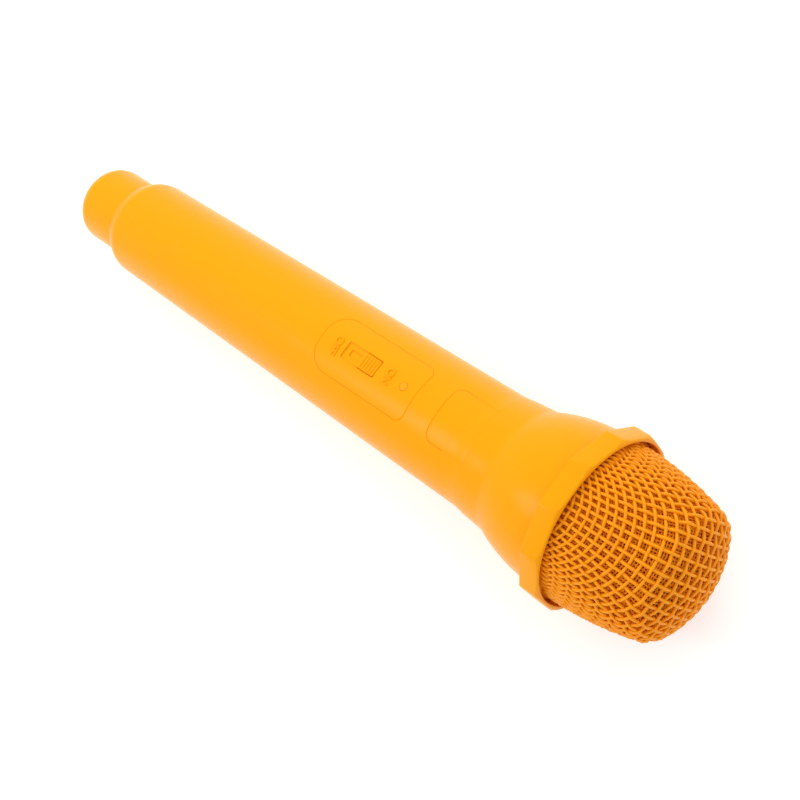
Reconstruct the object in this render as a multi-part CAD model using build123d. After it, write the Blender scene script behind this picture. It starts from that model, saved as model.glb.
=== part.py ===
"""Toy hand microphone with a woven grille, a slide switch and two AAA cells. Sizes are in millimetres.

The long axis is X: the tail end is at 0 and the grille's nose points to +X. +Z leaves through the switch
plate, and the battery door is on the -Z side. The origin is the centre of the tail's end face.
"""

from build123d import *
import math
import os

# Lengths along the axis
cap_show = 20.3  # tail cap that stands behind the barrel
barrel_length = 157.8  # barrel skin, from the tail shoulder to the neck seam
bell_length = 34.7  # bell, from the neck seam to the lip
grille_height = 32.1  # grille in front of the lip

# Barrel
barrel_tail_radius = 15.35
barrel_neck_radius = 17.3
barrel_mouth_radius = 17.85
barrel_mouth_flare = 5.0  # length over which the barrel opens to its mouth
barrel_shoulder = 6.0  # length of the rounded shoulder at the tail
barrel_shoulder_radius = 12.8  # where the shoulder meets the cap
barrel_wall = 2.0
spigot_radius = 15.9
spigot_length = 8.0
spigot_wall = 1.7
spigot_lead = 2.5  # length of the cone from the core to the spigot's bore

# Tail cap
cap_radius = 12.3
cap_tail_round = 6.3
cap_end_radius = 6.0  # the flat end inside the round
cap_round_steps = 4
cap_wall = 1.6
cap_hollow_bevel = 2.8
cap_seat = 10.0  # length of the cap inside the barrel's tail
cap_seat_step = 0.25  # the seated part is this much smaller in radius
cap_flange_radius = 13.2
cap_flange = 1.4
cap_clearance = 0.1

# Bell and collar
bell_crease = 8.4  # distance of the crease from the seam
bell_crease_radius = 18.65
bell_shoulder_drop = 1.3  # the shoulder's radius is this much under the lip's bore
bell_steps = 3
bell_flare_angle = 24.0  # slope of the flare where it leaves the crease, degrees
collar_length = 6.0
collar_rim = 0.95  # thickness of the collar over the lip's bore, at a flat
collar_flats = 12
collar_corner = 1.0
collar_front_bevel = 1.4
lip_radius = 24.0  # bore of the lip
lip_land = 0.5  # flat ring round the bore
shelf_depth = 4.5  # from the lip back to the shelf that carries the grille
shelf_width = 3.0
socket_clearance = 0.1
shoulder_radius = 14.8  # bore behind the socket, which traps the chassis flange

# Grille
grille_root_gap = 1.0  # between the lip's bore and the grille's root
grille_middle_draw = 1.13  # how far the wall draws in by its middle
grille_wall_draw = 3.9  # and by its top
grille_wall_height = 24.5
grille_corner_radius = 3.0
grille_thickness = 1.2
grille_band = 3.2
grille_pitch = 9.6
grille_wire = 2.2
grille_corner_steps = 2
grille_nose_steps = 3
grille_columns = 6  # every row has a multiple of this many windows

# Grille base, boot and capsule
base_thickness = 1.5
base_clearance = 0.15
upstand_gap = 0.35
upstand_wall = 1.4
upstand_height = 2.8
boss_wall = 1.5
boss_height = 5.0
lead_hole_radius = 2.6
boot_radius = 8.0
boot_length = 9.0
boot_floor = 2.0
capsule_radius = 4.85
capsule_length = 6.5
capsule_face_radius = 3.6
capsule_face_depth = 0.4

# Switch plate
panel_neck_gap = 23.1  # from the plate's head end to the neck seam
panel_length = 37.0
panel_width = 17.3
panel_tail_corner = 6.0
panel_head_corner = 2.2
panel_gap = 0.15
panel_edge = 1.2  # thickness on the rebate
panel_core = 2.6  # thickness inside the opening
panel_ledge = 1.2
seat_gap = 0.05
hook_stations = (7.0, 30.0)
hook_width = 3.0
hook_thickness = 1.0
hook_barb = 0.8
hook_gap = 0.3
hook_root = 1.6  # height of the leg over the barb, up into the plate

# Switch
recess_start = 9.2  # from the plate's tail end
recess_length = 13.0
recess_width = 5.4
recess_depth = 1.2
knob_gap = 0.3
knob_length = 6.4
knob_width = 4.9
knob_top = 0.15  # the knob's flat lies this far under the plate
knob_ribs = 5
rib_width = 0.5
rib_height = 0.3
stem_length = 2.6
stem_width = 1.9
lever_length = 1.4
lever_width = 1.0
lever_reach = 1.9
lever_clearance = 0.05
switch_travel = 6.0
switch_length = 15.0
switch_width = 6.0
switch_height = 3.6
switch_slot_depth = 1.0

# Lamp and lens
lamp_station = 32.3  # from the plate's tail end
lamp_radius = 1.5
lamp_height = 3.6
lamp_tip_radius = 0.6
lamp_flange = 0.4
lamp_flange_height = 0.8
lens_radius = 1.2
lens_clearance = 0.05
lens_dome = 0.15

# Tile at the neck
tile_length = 14.4
tile_width = 16.8
tile_corner = 2.5
tile_depth = 1.3
tile_step = 7.4  # length of the lowered part
tile_step_depth = 0.15

# Circuit board
board_bay_gap = 7.0  # from the battery bay to the board
board_lamp_gap = 19.7  # from the lamp to the board's head end
board_width = 20.0
board_thickness = 1.2
board_height = 7.3  # underside over the axis
post_radius = 2.2
post_inset = 4.0
post_spread = 7.0
screw_head_radius = 1.9
screw_head_height = 1.2
screw_radius = 0.85
screw_length = 5.0
screw_clearance = 0.1
module_length = 16.0
module_width = 11.0
module_height = 2.6
module_inset = 21.0  # from the board's tail end

# Cells and contacts
cell_radius = 5.25
cell_length = 44.5
cell_nub_radius = 1.9
cell_nub = 0.9
cell_spread = 5.4
contact_thickness = 0.4
contact_height = 7.0
contact_width = 10.4
spring_height = 5.0
spring_thickness = 0.35
spring_width = 4.0
contact_gap = 0.1
tab_width = 2.0
tab_height = 3.5
tab_offset = 3.0

# Chassis
deck_height = 0.5  # underside of the deck over the axis
deck_thickness = 1.5
chassis_clearance = 0.2
bulkhead_thickness = 2.0
chassis_flange = 1.5
chassis_flange_radius = 15.8
bay_start = 45.0
bay_wall = 1.5
bay_depth = 8.8
cradle_wall = 1.2
cradle_depth = 6.0
cell_clearance = 0.15

# Battery door and its screw
door_start = 36.0
door_length = 64.0
door_width = 22.4
door_corner = 3.0
door_gap = 0.35
tab_reach = 2.2
tab_spread = 5.5
hook_tab_width = 4.5
hook_tab_thickness = 1.3
hook_tab_gap = 0.3
hook_tab_root = 4.0
door_screw_station = 41.0
door_screw_head_radius = 2.25
door_screw_head = 1.4
door_screw_radius = 1.0
door_screw_sink = 0.25
door_screw_grip = 3.1
door_screw_bore_clearance = 0.45
door_screw_hole_clearance = 0.25
door_boss_radius = 3.4
door_boss_depth = 3.3
door_boss_gap = 0.3
boss_block_length = 7.4
boss_block_width = 7.2
bore_extra = 1.0
slot_width = 0.7
slot_depth = 0.6

# Wires and aerial
wire_radius = 0.6
wire_bend = 2.5
wire_sides = 8
aerial_radius = 0.8
aerial_height = 4.0
aerial_start = 4.0
aerial_tail = 2.5
lead_spread = 1.2
lead_overlap = 12.0
lead_bend = 4.0
drop_start = 7.0  # where the capsule leads leave the board's level, in front of the chassis
drop_length = 8.0

# Stations and heights that follow
seam = cap_show + barrel_length
lip = seam + bell_length
spigot_end = seam + spigot_length
collar_start = lip - collar_length
shelf = lip - shelf_depth
base_face = shelf + base_thickness
bell_shoulder_radius = lip_radius - bell_shoulder_drop
collar_apothem = lip_radius + collar_rim
grille_root_radius = lip_radius - grille_root_gap
grille_middle_radius = grille_root_radius - grille_middle_draw
grille_wall_radius = grille_root_radius - grille_wall_draw
panel_start = seam - panel_neck_gap - panel_length
recess_tail = panel_start + recess_start
recess_head = recess_tail + recess_length
knob_centre = recess_head - knob_gap - knob_length / 2
switch_centre = knob_centre - switch_travel / 2
lamp_x = panel_start + lamp_station
board_end = lamp_x + board_lamp_gap
board_top = board_height + board_thickness
switch_top = board_top + switch_height
stem_bottom = switch_top + knob_gap
deck_top = deck_height + deck_thickness
cell_height = deck_height - cell_clearance - cell_radius
chassis_start = cap_show + cap_seat + cap_clearance + cap_flange + cap_clearance
bay_tail = bay_start + bay_wall
bay_head = bay_tail + cell_length + spring_height + 2 * contact_thickness + 2 * contact_gap
board_start = bay_head + board_bay_gap
module_start = board_start + module_inset
door_end = door_start + door_length
reach = 2 * lip_radius  # further out than any piece, for cutting tools


def barrel_radius(station, depth=0.0):
    """Radius of the barrel's straight taper at a station, at a depth under its skin."""
    run = barrel_length - barrel_mouth_flare
    slope = (barrel_neck_radius - barrel_tail_radius) / run
    return barrel_tail_radius + slope * (station - cap_show) - depth


def turned(*lines):
    """Solid of revolution about the long axis, from lines drawn as (station, radius)."""
    edges = [edge for line in lines for edge in line.edges()]
    return revolve(Plane.XZ * make_face(edges), Axis.X)


def stepped(curve, steps):
    """Equal chords of a curve, which keep a round turned from it light and within 0.1 mm."""
    return Polyline(*(curve @ (step / steps) for step in range(steps + 1)))


def rod(start, end, radius, y=0.0, z=0.0):
    """Cylinder along the long axis between two stations."""
    return Pos(start, y, z) * (Plane.YZ * extrude(Circle(radius), end - start))


def post(x, y, low, high, radius):
    """Upright cylinder between two heights."""
    return Pos(x, y, low) * extrude(Circle(radius), high - low)


def block(x, y, z):
    """Box between three pairs of limits."""
    sizes = [limits[1] - limits[0] for limits in (x, y, z)]
    return Pos(x[0], y[0], z[0]) * Box(*sizes, align=(Align.MIN, Align.MIN, Align.MIN))


def around(middle, width):
    """Pair of limits, half a width each side of a middle."""
    return middle - width / 2, middle + width / 2


def column(plan, low, high):
    """Plan drawn in X and Y, raised between two heights."""
    return Pos(0, 0, low) * extrude(plan, high - low)


def wire(points, radius, bend):
    """Wire along straight runs joined by tangent arcs, starting along the long axis."""
    path = FilletPolyline(*points, radius=bend)
    return sweep(Plane(points[0], z_dir=(1, 0, 0)) * RegularPolygon(radius, wire_sides), path=path)


def barrel_form(inset=0.0):
    """The barrel's outer form as a full solid, with its skin moved inwards by an inset."""
    shoulder_x = cap_show + barrel_shoulder
    flare_x = seam - barrel_mouth_flare
    run = flare_x - shoulder_x
    rise = barrel_radius(flare_x) - barrel_radius(shoulder_x)
    end_point = (cap_show, barrel_shoulder_radius - inset)
    shoulder_point = (shoulder_x, barrel_radius(shoulder_x, inset))
    flare_point = (flare_x, barrel_radius(flare_x, inset))
    mouth_point = (seam, barrel_mouth_radius - inset)
    return turned(
        TangentArc(shoulder_point, end_point, tangent=(-run, -rise)),
        Line(shoulder_point, flare_point),
        TangentArc(flare_point, mouth_point, tangent=(run, rise)),
        Polyline(mouth_point, (seam, 0), (cap_show, 0), end_point),
    )


def taper_solid(depth):
    """Full solid under the barrel's skin, bounded by the taper at a depth."""
    first, last = barrel_radius(cap_show, depth), barrel_radius(spigot_end, depth)
    return turned(
        Polyline((cap_show, 0), (cap_show, first), (spigot_end, last), (spigot_end, 0), (cap_show, 0))
    )


def barrel_core(inset=0.0):
    """The space inside the barrel and its spigot, made smaller all round by an inset."""
    step = cap_show + cap_seat
    lead = seam - spigot_lead
    bore = spigot_radius - spigot_wall - inset
    return turned(
        Polyline(
            (step, 0),
            (step, barrel_radius(step, barrel_wall + inset)),
            (lead, barrel_radius(lead, barrel_wall + inset)),
            (seam, bore),
            (spigot_end, bore),
            (spigot_end, 0),
            (step, 0),
        )
    )


def panel_plan(margin=0.0):
    """D-shaped plan of the switch plate, its large corners at the tail, grown by a margin."""
    outline = Rectangle(panel_length + 2 * margin, panel_width + 2 * margin)
    outline = fillet(outline.vertices().group_by(Axis.X)[0], panel_tail_corner + margin)
    outline = fillet(outline.vertices().group_by(Axis.X)[-1], panel_head_corner + margin)
    return Pos(panel_start + panel_length / 2, 0) * outline


def tile_plan(margin=0.0):
    """Plan of the neck tile, open at the seam, grown by a margin."""
    length = tile_length + margin
    outline = Rectangle(length, tile_width + 2 * margin)
    outline = fillet(outline.vertices().group_by(Axis.X)[0], tile_corner + margin)
    return Pos(seam - length / 2, 0) * outline


def door_plan(margin=0.0):
    """Plan of the battery door, grown by a margin."""
    outline = RectangleRounded(door_length + 2 * margin, door_width + 2 * margin, door_corner + margin)
    return Pos(door_start + door_length / 2, 0) * outline


def make_barrel():
    """One-piece tapered tube with its rebates, the door's opening and the neck spigot."""
    tube = barrel_form() + rod(seam - spigot_lead, spigot_end, spigot_radius)
    tube -= rod(cap_show, cap_show + cap_seat, cap_radius + cap_clearance)
    tube -= barrel_core()
    tube -= column(panel_plan(), 0, reach) - taper_solid(panel_edge)
    tube -= column(panel_plan(-panel_ledge), 0, reach)
    tube -= column(tile_plan(), 0, reach) - taper_solid(tile_depth)
    tube -= column(door_plan(), -reach, 0)
    return tube


def make_tail_cap():
    """Round aerial cap, pushed in from inside the barrel and held there by its flange."""
    inner_end = chassis_start - cap_clearance
    round_end = (cap_tail_round, cap_radius)
    cap = turned(
        stepped(TangentArc(round_end, (0, cap_end_radius), tangent=(-1, 0)), cap_round_steps),
        Polyline((0, cap_end_radius), (0, 0), (cap_show, 0), (cap_show, cap_radius), round_end),
    )
    cap += rod(cap_show, inner_end, cap_radius - cap_seat_step)
    cap += rod(inner_end - cap_flange, inner_end, cap_flange_radius)
    hollow = rod(cap_wall, inner_end, cap_radius - cap_wall)
    return cap - chamfer(hollow.edges().group_by(Axis.X)[0], cap_hollow_bevel)


def make_collar():
    """Ring with flats and softened corners, its front edge bevelled, one flat facing +Z."""
    plan = RegularPolygon(collar_apothem, collar_flats, major_radius=False, rotation=180 / collar_flats)
    plan = fillet(plan.vertices(), collar_corner)
    ring = Pos(collar_start, 0, 0) * (Plane.YZ * extrude(plan, collar_length))
    corner_radius = collar_apothem / math.cos(math.pi / collar_flats)
    envelope = turned(
        Polyline(
            (lip, lip_radius + lip_land),
            (lip, 0),
            (collar_start, 0),
            (collar_start, corner_radius),
            (lip - collar_front_bevel, corner_radius),
            (lip, lip_radius + lip_land),
        )
    )
    return ring & envelope


def make_bell():
    """Flared neck with its collar, the socket for the barrel's spigot and the lip."""
    crease = (seam + bell_crease, bell_crease_radius)
    shoulder = (collar_start, bell_shoulder_radius)
    flare = math.radians(bell_flare_angle)
    outer = turned(
        Polyline((shelf, bell_shoulder_radius), (shelf, 0), (seam, 0), (seam, barrel_mouth_radius), crease),
        stepped(TangentArc(crease, shoulder, tangent=(math.cos(flare), math.sin(flare))), bell_steps),
        Line(shoulder, (shelf, bell_shoulder_radius)),
    )
    socket_radius = spigot_radius + socket_clearance
    socket_end = spigot_end + chassis_flange + socket_clearance
    inner = turned(
        Polyline(
            (seam, 0),
            (seam, socket_radius),
            (socket_end, socket_radius),
            (socket_end, shoulder_radius),
            (shelf, lip_radius - shelf_width),
            (shelf, lip_radius),
            (lip, lip_radius),
            (lip, 0),
            (seam, 0),
        )
    )
    return outer + make_collar() - inner


def grille_line(inset=0.0):
    """The grille's profile, from its root to the nose, in (station, radius), moved inwards by an inset."""
    root = Vector(base_face, grille_root_radius - inset)
    middle = Vector(lip + grille_wall_height / 2, grille_middle_radius - inset)
    top = Vector(lip + grille_wall_height, grille_wall_radius - inset)
    corner_radius = grille_corner_radius - inset
    apex = lip + grille_height - inset
    wall = Polyline(root, middle, top)
    slope = (top - middle).normalized()
    centre = top + Vector(slope.Y, -slope.X) * corner_radius
    # The nose arc is centred on the axis, runs through the apex and meets the corner arc smoothly.
    ahead = centre.X - apex
    nose_radius = (corner_radius**2 - ahead**2 - centre.Y**2) / (2 * (ahead + corner_radius))
    nose_centre = Vector(apex - nose_radius, 0)
    touch = centre + (centre - nose_centre).normalized() * corner_radius
    corner = TangentArc(top, touch, tangent=slope)
    nose = TangentArc(touch, (apex, 0), tangent=corner % 1)
    lines = (wall, stepped(corner, grille_corner_steps), stepped(nose, grille_nose_steps))
    return Wire([edge for line in lines for edge in line.edges()])


def grille_dome(inset=0.0):
    """Full solid under the grille's profile, moved inwards by an inset."""
    line = grille_line(inset)
    return turned(line, Polyline(line @ 1, (base_face, 0), line @ 0))


def grille_windows():
    """Openings between the wires: rows round the dome, each cut square to its surface."""
    line = grille_line()
    band = grille_band + grille_wire
    rows = round((line.length - band) / grille_pitch)
    pitch = (line.length - band) / rows
    opening = grille_pitch - grille_wire
    tools = []
    for row in range(rows):
        place = (band + row * pitch + opening / 2) / line.length
        point, along = line @ place, line % place
        count = grille_columns * max(1, round(2 * math.pi * point.Y / grille_pitch / grille_columns))
        narrowest = point.Y - abs(along.Y) * opening / 2
        across = min(opening, 2 * math.pi * narrowest / count - grille_wire)
        if across < grille_wire:
            continue
        tilt = math.degrees(math.atan2(along.Y, along.X))
        tool = Pos(point.X, 0, point.Y) * Rot(0, -tilt, 0) * Box(opening, across, 4 * grille_thickness)
        tools += [Rot(360 / count * step, 0, 0) * tool for step in range(count)]
    return [*tools, Pos(lip + grille_height, 0, 0) * Box(4 * grille_thickness, opening, opening)]


def make_grille():
    """Press-formed basket: crossing wires over a tapered dome, on a solid band at its root."""
    return grille_dome() - grille_dome(grille_thickness) - grille_windows()


def make_grille_base():
    """Disc on the bell's shelf, with the grille's upstand and the boot's boss."""
    rim = lip_radius - base_clearance
    upstand = grille_root_radius - grille_thickness - upstand_gap
    boss = boot_radius + cap_clearance
    disc = rod(shelf, base_face, rim)
    disc += rod(base_face, base_face + upstand_height, upstand)
    disc -= rod(base_face, base_face + upstand_height, upstand - upstand_wall)
    disc += rod(base_face, base_face + boss_height, boss + boss_wall)
    disc -= rod(base_face, base_face + boss_height, boss)
    return disc - rod(shelf, base_face, lead_hole_radius)


def make_capsule_boot():
    """Rubber cup that holds the capsule."""
    back = base_face + boot_floor
    boot = rod(base_face, base_face + boot_length, boot_radius)
    return boot - rod(base_face, back, lead_hole_radius) - rod(back, base_face + boot_length, capsule_radius)


def make_capsule():
    """Microphone capsule with its sunk face."""
    back = base_face + boot_floor
    front = back + capsule_length
    return rod(back, front, capsule_radius) - rod(front - capsule_face_depth, front, capsule_face_radius)


def snap_hook(x, side):
    """Hook under the switch plate that catches behind the barrel's wall."""
    outer = panel_width / 2 - panel_ledge - panel_gap
    tip = outer + hook_barb
    catch = math.sqrt(barrel_radius(x, barrel_wall) ** 2 - tip**2) - hook_gap
    bottom = catch - hook_barb
    leg = block(around(x, hook_width), (outer - hook_thickness, outer), (bottom, catch + hook_root))
    barb = block(around(x, hook_width), (outer, tip), (bottom, catch))
    hook = leg + barb
    return hook if side > 0 else mirror(hook, Plane.XZ)


def make_control_panel():
    """Curved D-shaped plate with the switch's recess and slot, the lamp hole and four hooks."""
    form = barrel_form()
    edge = (column(panel_plan(-panel_gap), 0, reach) & form) - taper_solid(panel_edge - seat_gap)
    core = (column(panel_plan(-panel_ledge - panel_gap), 0, reach) & form) - taper_solid(panel_core)
    plate = edge + core
    floor = barrel_radius(knob_centre) - recess_depth
    plate -= block((recess_tail, recess_head), around(0, recess_width), (floor, reach))
    slot_length = switch_travel + stem_length + 2 * knob_gap
    plate -= block(around(switch_centre, slot_length), around(0, stem_width + 2 * knob_gap), (0, reach))
    plate -= post(lamp_x, 0, 0, reach, lens_radius + lens_clearance)
    for station in hook_stations:
        for side in (-1, 1):
            plate += snap_hook(panel_start + station, side)
    return plate


def make_switch_knob():
    """Ribbed slide knob with the stem that grips the switch's lever."""
    low = barrel_radius(knob_centre) - recess_depth + knob_gap
    top = barrel_radius(knob_centre) - knob_top
    knob = block(around(knob_centre, knob_length), around(0, knob_width), (low, top))
    knob += block(around(knob_centre, stem_length), around(0, stem_width), (stem_bottom, top))
    pitch = knob_length / (knob_ribs + 1)
    for rib in range(knob_ribs):
        middle = knob_centre + (rib - (knob_ribs - 1) / 2) * pitch
        knob += block(around(middle, rib_width), around(0, knob_width), (top, top + rib_height))
    length = lever_length + 2 * lever_clearance
    width = lever_width + 2 * lever_clearance
    pocket_top = switch_top + lever_reach + lever_clearance
    return knob - block(around(knob_centre, length), around(0, width), (stem_bottom, pocket_top))


def make_switch_lever():
    """Lever of the slide switch, from its slot up into the knob's stem."""
    low = switch_top - switch_slot_depth + knob_gap
    return block(around(knob_centre, lever_length), around(0, lever_width), (low, switch_top + lever_reach))


def make_slide_switch():
    """Switch body on the board, slotted for its lever."""
    body = block(around(switch_centre, switch_length), around(0, switch_width), (board_top, switch_top))
    slot_length = switch_travel + lever_length + 2 * knob_gap
    slot = (switch_top - switch_slot_depth, switch_top)
    return body - block(around(switch_centre, slot_length), around(0, lever_width + 2 * knob_gap), slot)


def make_indicator_lamp():
    """Round lamp on the board, with its flange and domed top."""
    dome_base = board_top + lamp_height
    lamp = post(lamp_x, 0, board_top, dome_base, lamp_radius)
    lamp += post(lamp_x, 0, board_top, board_top + lamp_flange_height, lamp_radius + lamp_flange)
    dome = Cone(lamp_radius, lamp_tip_radius, lamp_radius, align=(Align.CENTER, Align.CENTER, Align.MIN))
    return lamp + Pos(lamp_x, 0, dome_base) * dome


def make_lamp_lens():
    """Clear plug that carries the lamp's light to the plate's surface, slightly domed."""
    low = board_top + lamp_height + lamp_radius + seat_gap
    top = barrel_radius(lamp_x)
    dome_radius = (lens_radius**2 + lens_dome**2) / (2 * lens_dome)
    plug = post(lamp_x, 0, low, top + lens_dome, lens_radius)
    return plug & (Pos(lamp_x, 0, top + lens_dome - dome_radius) * Sphere(dome_radius))


def make_window_tile():
    """Curved tile in the neck's rebate, its front part slightly lowered."""
    tile = (column(tile_plan(-panel_gap), 0, reach) & barrel_form()) - taper_solid(tile_depth - seat_gap)
    lowered = block((seam - tile_step, seam), (-reach, reach), (0, reach)) - barrel_form(tile_step_depth)
    return tile - lowered


def board_posts():
    """Plan places of the four posts that carry the board."""
    stations = (board_start + post_inset, board_end - post_inset)
    return [(station, side * post_spread) for station in stations for side in (-1, 1)]


def make_circuit_board():
    """Board with the holes for its screws."""
    board = block((board_start, board_end), around(0, board_width), (board_height, board_top))
    for x, y in board_posts():
        board -= post(x, y, board_height, board_top, screw_radius + screw_clearance)
    return board


def make_board_screws():
    """Four pan-head screws, all alike."""
    screws = []
    for x, y in board_posts():
        head = post(x, y, board_top, board_top + screw_head_height, screw_head_radius)
        screws.append(head + post(x, y, board_top - screw_length, board_top, screw_radius))
    return Compound(children=screws)


def make_radio_module():
    """Shielded transmitter under the board."""
    ends = (module_start, module_start + module_length)
    return block(ends, around(0, module_width), (board_height - module_height, board_height))


def make_cell(side, tip, direction):
    """AAA cell with its nub at the tip, the rest running off in a direction along X."""
    y = side * cell_spread
    base = tip + direction * cell_length
    shoulder = tip + direction * cell_nub
    nub = rod(min(tip, shoulder), max(tip, shoulder), cell_nub_radius, y, cell_height)
    return nub + rod(min(shoulder, base), max(shoulder, base), cell_radius, y, cell_height)


def contact_plate(face, direction, low, high):
    """Contact plate on a wall of the bay, between two limits across."""
    limits = sorted((face, face + direction * contact_thickness))
    return block(limits, (low, high), around(cell_height, contact_height))


def bow_spring(plate, direction, y):
    """Bowed leaf that presses on the flat end of a cell."""
    ring = Circle(spring_height) - Circle(spring_height - spring_thickness)
    keep = Pos(direction * spring_height / 2, 0) * Rectangle(spring_height, 2 * spring_height)
    low, high = around(cell_height, spring_width)
    return column(Pos(plate, y) * (ring & keep), low, high)


def make_contact_link():
    """Plate at the bay's tail end that joins the two cells, with one bowed leaf."""
    half = cell_spread + contact_width / 2
    plate = contact_plate(bay_tail, 1, -half, half)
    return plate + bow_spring(bay_tail + contact_thickness, 1, -cell_spread)


def make_terminal(side):
    """Plate at the bay's head end with its solder tab above the deck."""
    plate = contact_plate(bay_head, -1, *around(side * cell_spread, contact_width))
    ends = (bay_head - contact_thickness, bay_head)
    return plate + block(ends, around(side * tab_offset, tab_width), (cell_height, tab_height))


def make_negative_terminal():
    """Terminal with the bowed leaf."""
    return make_terminal(1) + bow_spring(bay_head - contact_thickness, -1, cell_spread)


def make_chassis():
    """Moulded tray: deck, bulkheads, battery bay, board posts and the door screw's boss."""
    everywhere = (-reach, reach)
    tray = block((chassis_start, spigot_end), everywhere, (deck_height, deck_top))
    tray += block((chassis_start, chassis_start + bulkhead_thickness), everywhere, everywhere)
    for start in (bay_start, bay_head):
        tray += block((start, start + bay_wall), everywhere, (-bay_depth, deck_height))
    cradle = cell_spread + cell_radius + cell_clearance
    for side in (-1, 1):
        limits = sorted((side * cradle, side * (cradle + cradle_wall)))
        tray += block((bay_start, bay_head + bay_wall), limits, (-cradle_depth, deck_height))
    bottom = -barrel_radius(door_screw_station, door_boss_depth + door_boss_gap)
    middle = around(door_screw_station, boss_block_length)
    tray += block(middle, around(0, boss_block_width), (bottom, deck_height))
    for x, y in board_posts():
        tray += post(x, y, deck_height, board_height, post_radius)
    tray &= barrel_core(chassis_clearance)
    tray += rod(spigot_end, spigot_end + chassis_flange, chassis_flange_radius)
    bore = door_screw_radius + door_screw_bore_clearance
    tray -= post(door_screw_station, 0, bottom, bottom + door_screw_grip + bore_extra, bore)
    for x, y in board_posts():
        tray -= post(x, y, deck_top, board_height, screw_radius + screw_clearance)
    for side in (-1, 1):
        slot = around(bay_head - contact_thickness / 2, contact_thickness + 2 * contact_gap)
        tray -= block(slot, around(side * tab_offset, tab_width + 2 * contact_gap), (deck_height, deck_top))
    tray -= rod(chassis_start, chassis_start + bulkhead_thickness, aerial_radius, 0, aerial_height)
    passage = around(board_height - wire_radius, 2 * lead_hole_radius)
    ends = (spigot_end, spigot_end + chassis_flange)
    return tray - block(ends, around(0, 2 * lead_hole_radius), passage)


def make_battery_leads():
    """Two wires from the solder tabs to the underside of the board."""
    level = deck_top + wire_radius + cap_clearance
    rise = board_start + 2 * post_inset
    wires = []
    for side in (-1, 1):
        y = side * tab_offset
        points = [(bay_head, y, level), (rise, y, level), (rise, y, board_height)]
        wires.append(wire(points, wire_radius, wire_bend))
    return Compound(children=wires)


def make_aerial_rod():
    """Straight aerial in the tail cap, held by the chassis bulkhead."""
    end = chassis_start + bulkhead_thickness + aerial_tail
    return rod(aerial_start, end, aerial_radius, 0, aerial_height)


def make_aerial_lead():
    """Wire from the aerial to the underside of the board."""
    start = chassis_start + bulkhead_thickness + aerial_tail
    rise = board_start + 2 * post_inset
    points = [(start, 0, aerial_height), (rise, 0, aerial_height), (rise, 0, board_height)]
    return wire(points, wire_radius, wire_bend)


def make_capsule_leads():
    """Two wires from under the board, through the chassis flange, to the back of the capsule."""
    level = board_height - wire_radius
    drop = spigot_end + chassis_flange + drop_start
    back = base_face + boot_floor
    wires = []
    for y in (-lead_spread, lead_spread):
        start, knee = (board_end - lead_overlap, y, level), (drop, y, level)
        points = [start, knee, (drop + drop_length, y, 0), (back, y, 0)]
        wires.append(wire(points, wire_radius, lead_bend))
    return Compound(children=wires)


def make_battery_door():
    """Curved door with two hook tabs at its head end and a boss for its captive screw."""
    form = barrel_form()
    door = (column(door_plan(-door_gap), -reach, 0) & form) - taper_solid(barrel_wall)
    skin = barrel_radius(door_screw_station)
    door += post(door_screw_station, 0, -reach, door_boss_depth - skin, door_boss_radius) & form
    seat = door_screw_sink + door_screw_head + seat_gap - skin
    door -= post(door_screw_station, 0, -reach, seat, door_screw_head_radius + door_screw_hole_clearance)
    door -= post(door_screw_station, 0, -reach, 0, door_screw_radius + door_screw_hole_clearance)
    tab_face = barrel_wall + hook_tab_gap
    tab_back = taper_solid(tab_face + hook_tab_thickness)
    under = taper_solid(tab_face) - tab_back
    root = taper_solid(barrel_wall / 2) - tab_back
    edge = door_end - door_gap
    for side in (-1, 1):
        across = around(side * tab_spread, hook_tab_width)
        door += root & block((edge - hook_tab_root, edge), across, (-reach, 0))
        door += under & block((edge - hook_tab_root, door_end + tab_reach), across, (-reach, 0))
    return door


def make_door_screw():
    """Slotted screw, sunk in the door and turned into the chassis."""
    head_top = door_screw_sink - barrel_radius(door_screw_station)
    mouth = -barrel_radius(door_screw_station, door_boss_depth + door_boss_gap)
    screw = post(door_screw_station, 0, head_top, head_top + door_screw_head, door_screw_head_radius)
    screw += post(door_screw_station, 0, head_top, mouth + door_screw_grip, door_screw_radius)
    slot = around(0, slot_width)
    return screw - block(around(door_screw_station, reach), slot, (head_top, head_top + slot_depth))


first_tip = bay_tail + contact_thickness + contact_gap
last_tip = bay_head - contact_thickness - contact_gap

nodes = {
    "barrel": make_barrel(),
    "tail_cap": make_tail_cap(),
    "bell": make_bell(),
    "grille_mesh": make_grille(),
    "grille_base": make_grille_base(),
    "capsule_boot": make_capsule_boot(),
    "capsule": make_capsule(),
    "control_panel": make_control_panel(),
    "switch_knob": make_switch_knob(),
    "switch_lever": make_switch_lever(),
    "slide_switch": make_slide_switch(),
    "indicator_lamp": make_indicator_lamp(),
    "lamp_lens": make_lamp_lens(),
    "window_tile": make_window_tile(),
    "circuit_board": make_circuit_board(),
    "board_screws": make_board_screws(),
    "radio_module": make_radio_module(),
    "battery_left": make_cell(1, first_tip, 1),
    "battery_right": make_cell(-1, last_tip, -1),
    "contact_link": make_contact_link(),
    "positive_terminal": make_terminal(-1),
    "negative_terminal": make_negative_terminal(),
    "chassis": make_chassis(),
    "battery_leads": make_battery_leads(),
    "aerial_rod": make_aerial_rod(),
    "aerial_lead": make_aerial_lead(),
    "capsule_leads": make_capsule_leads(),
    "battery_door": make_battery_door(),
    "door_screw": make_door_screw(),
}

os.makedirs("parts", exist_ok=True)
for name, shape in nodes.items():
    export_step(shape, f"parts/{name}.step")
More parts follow.
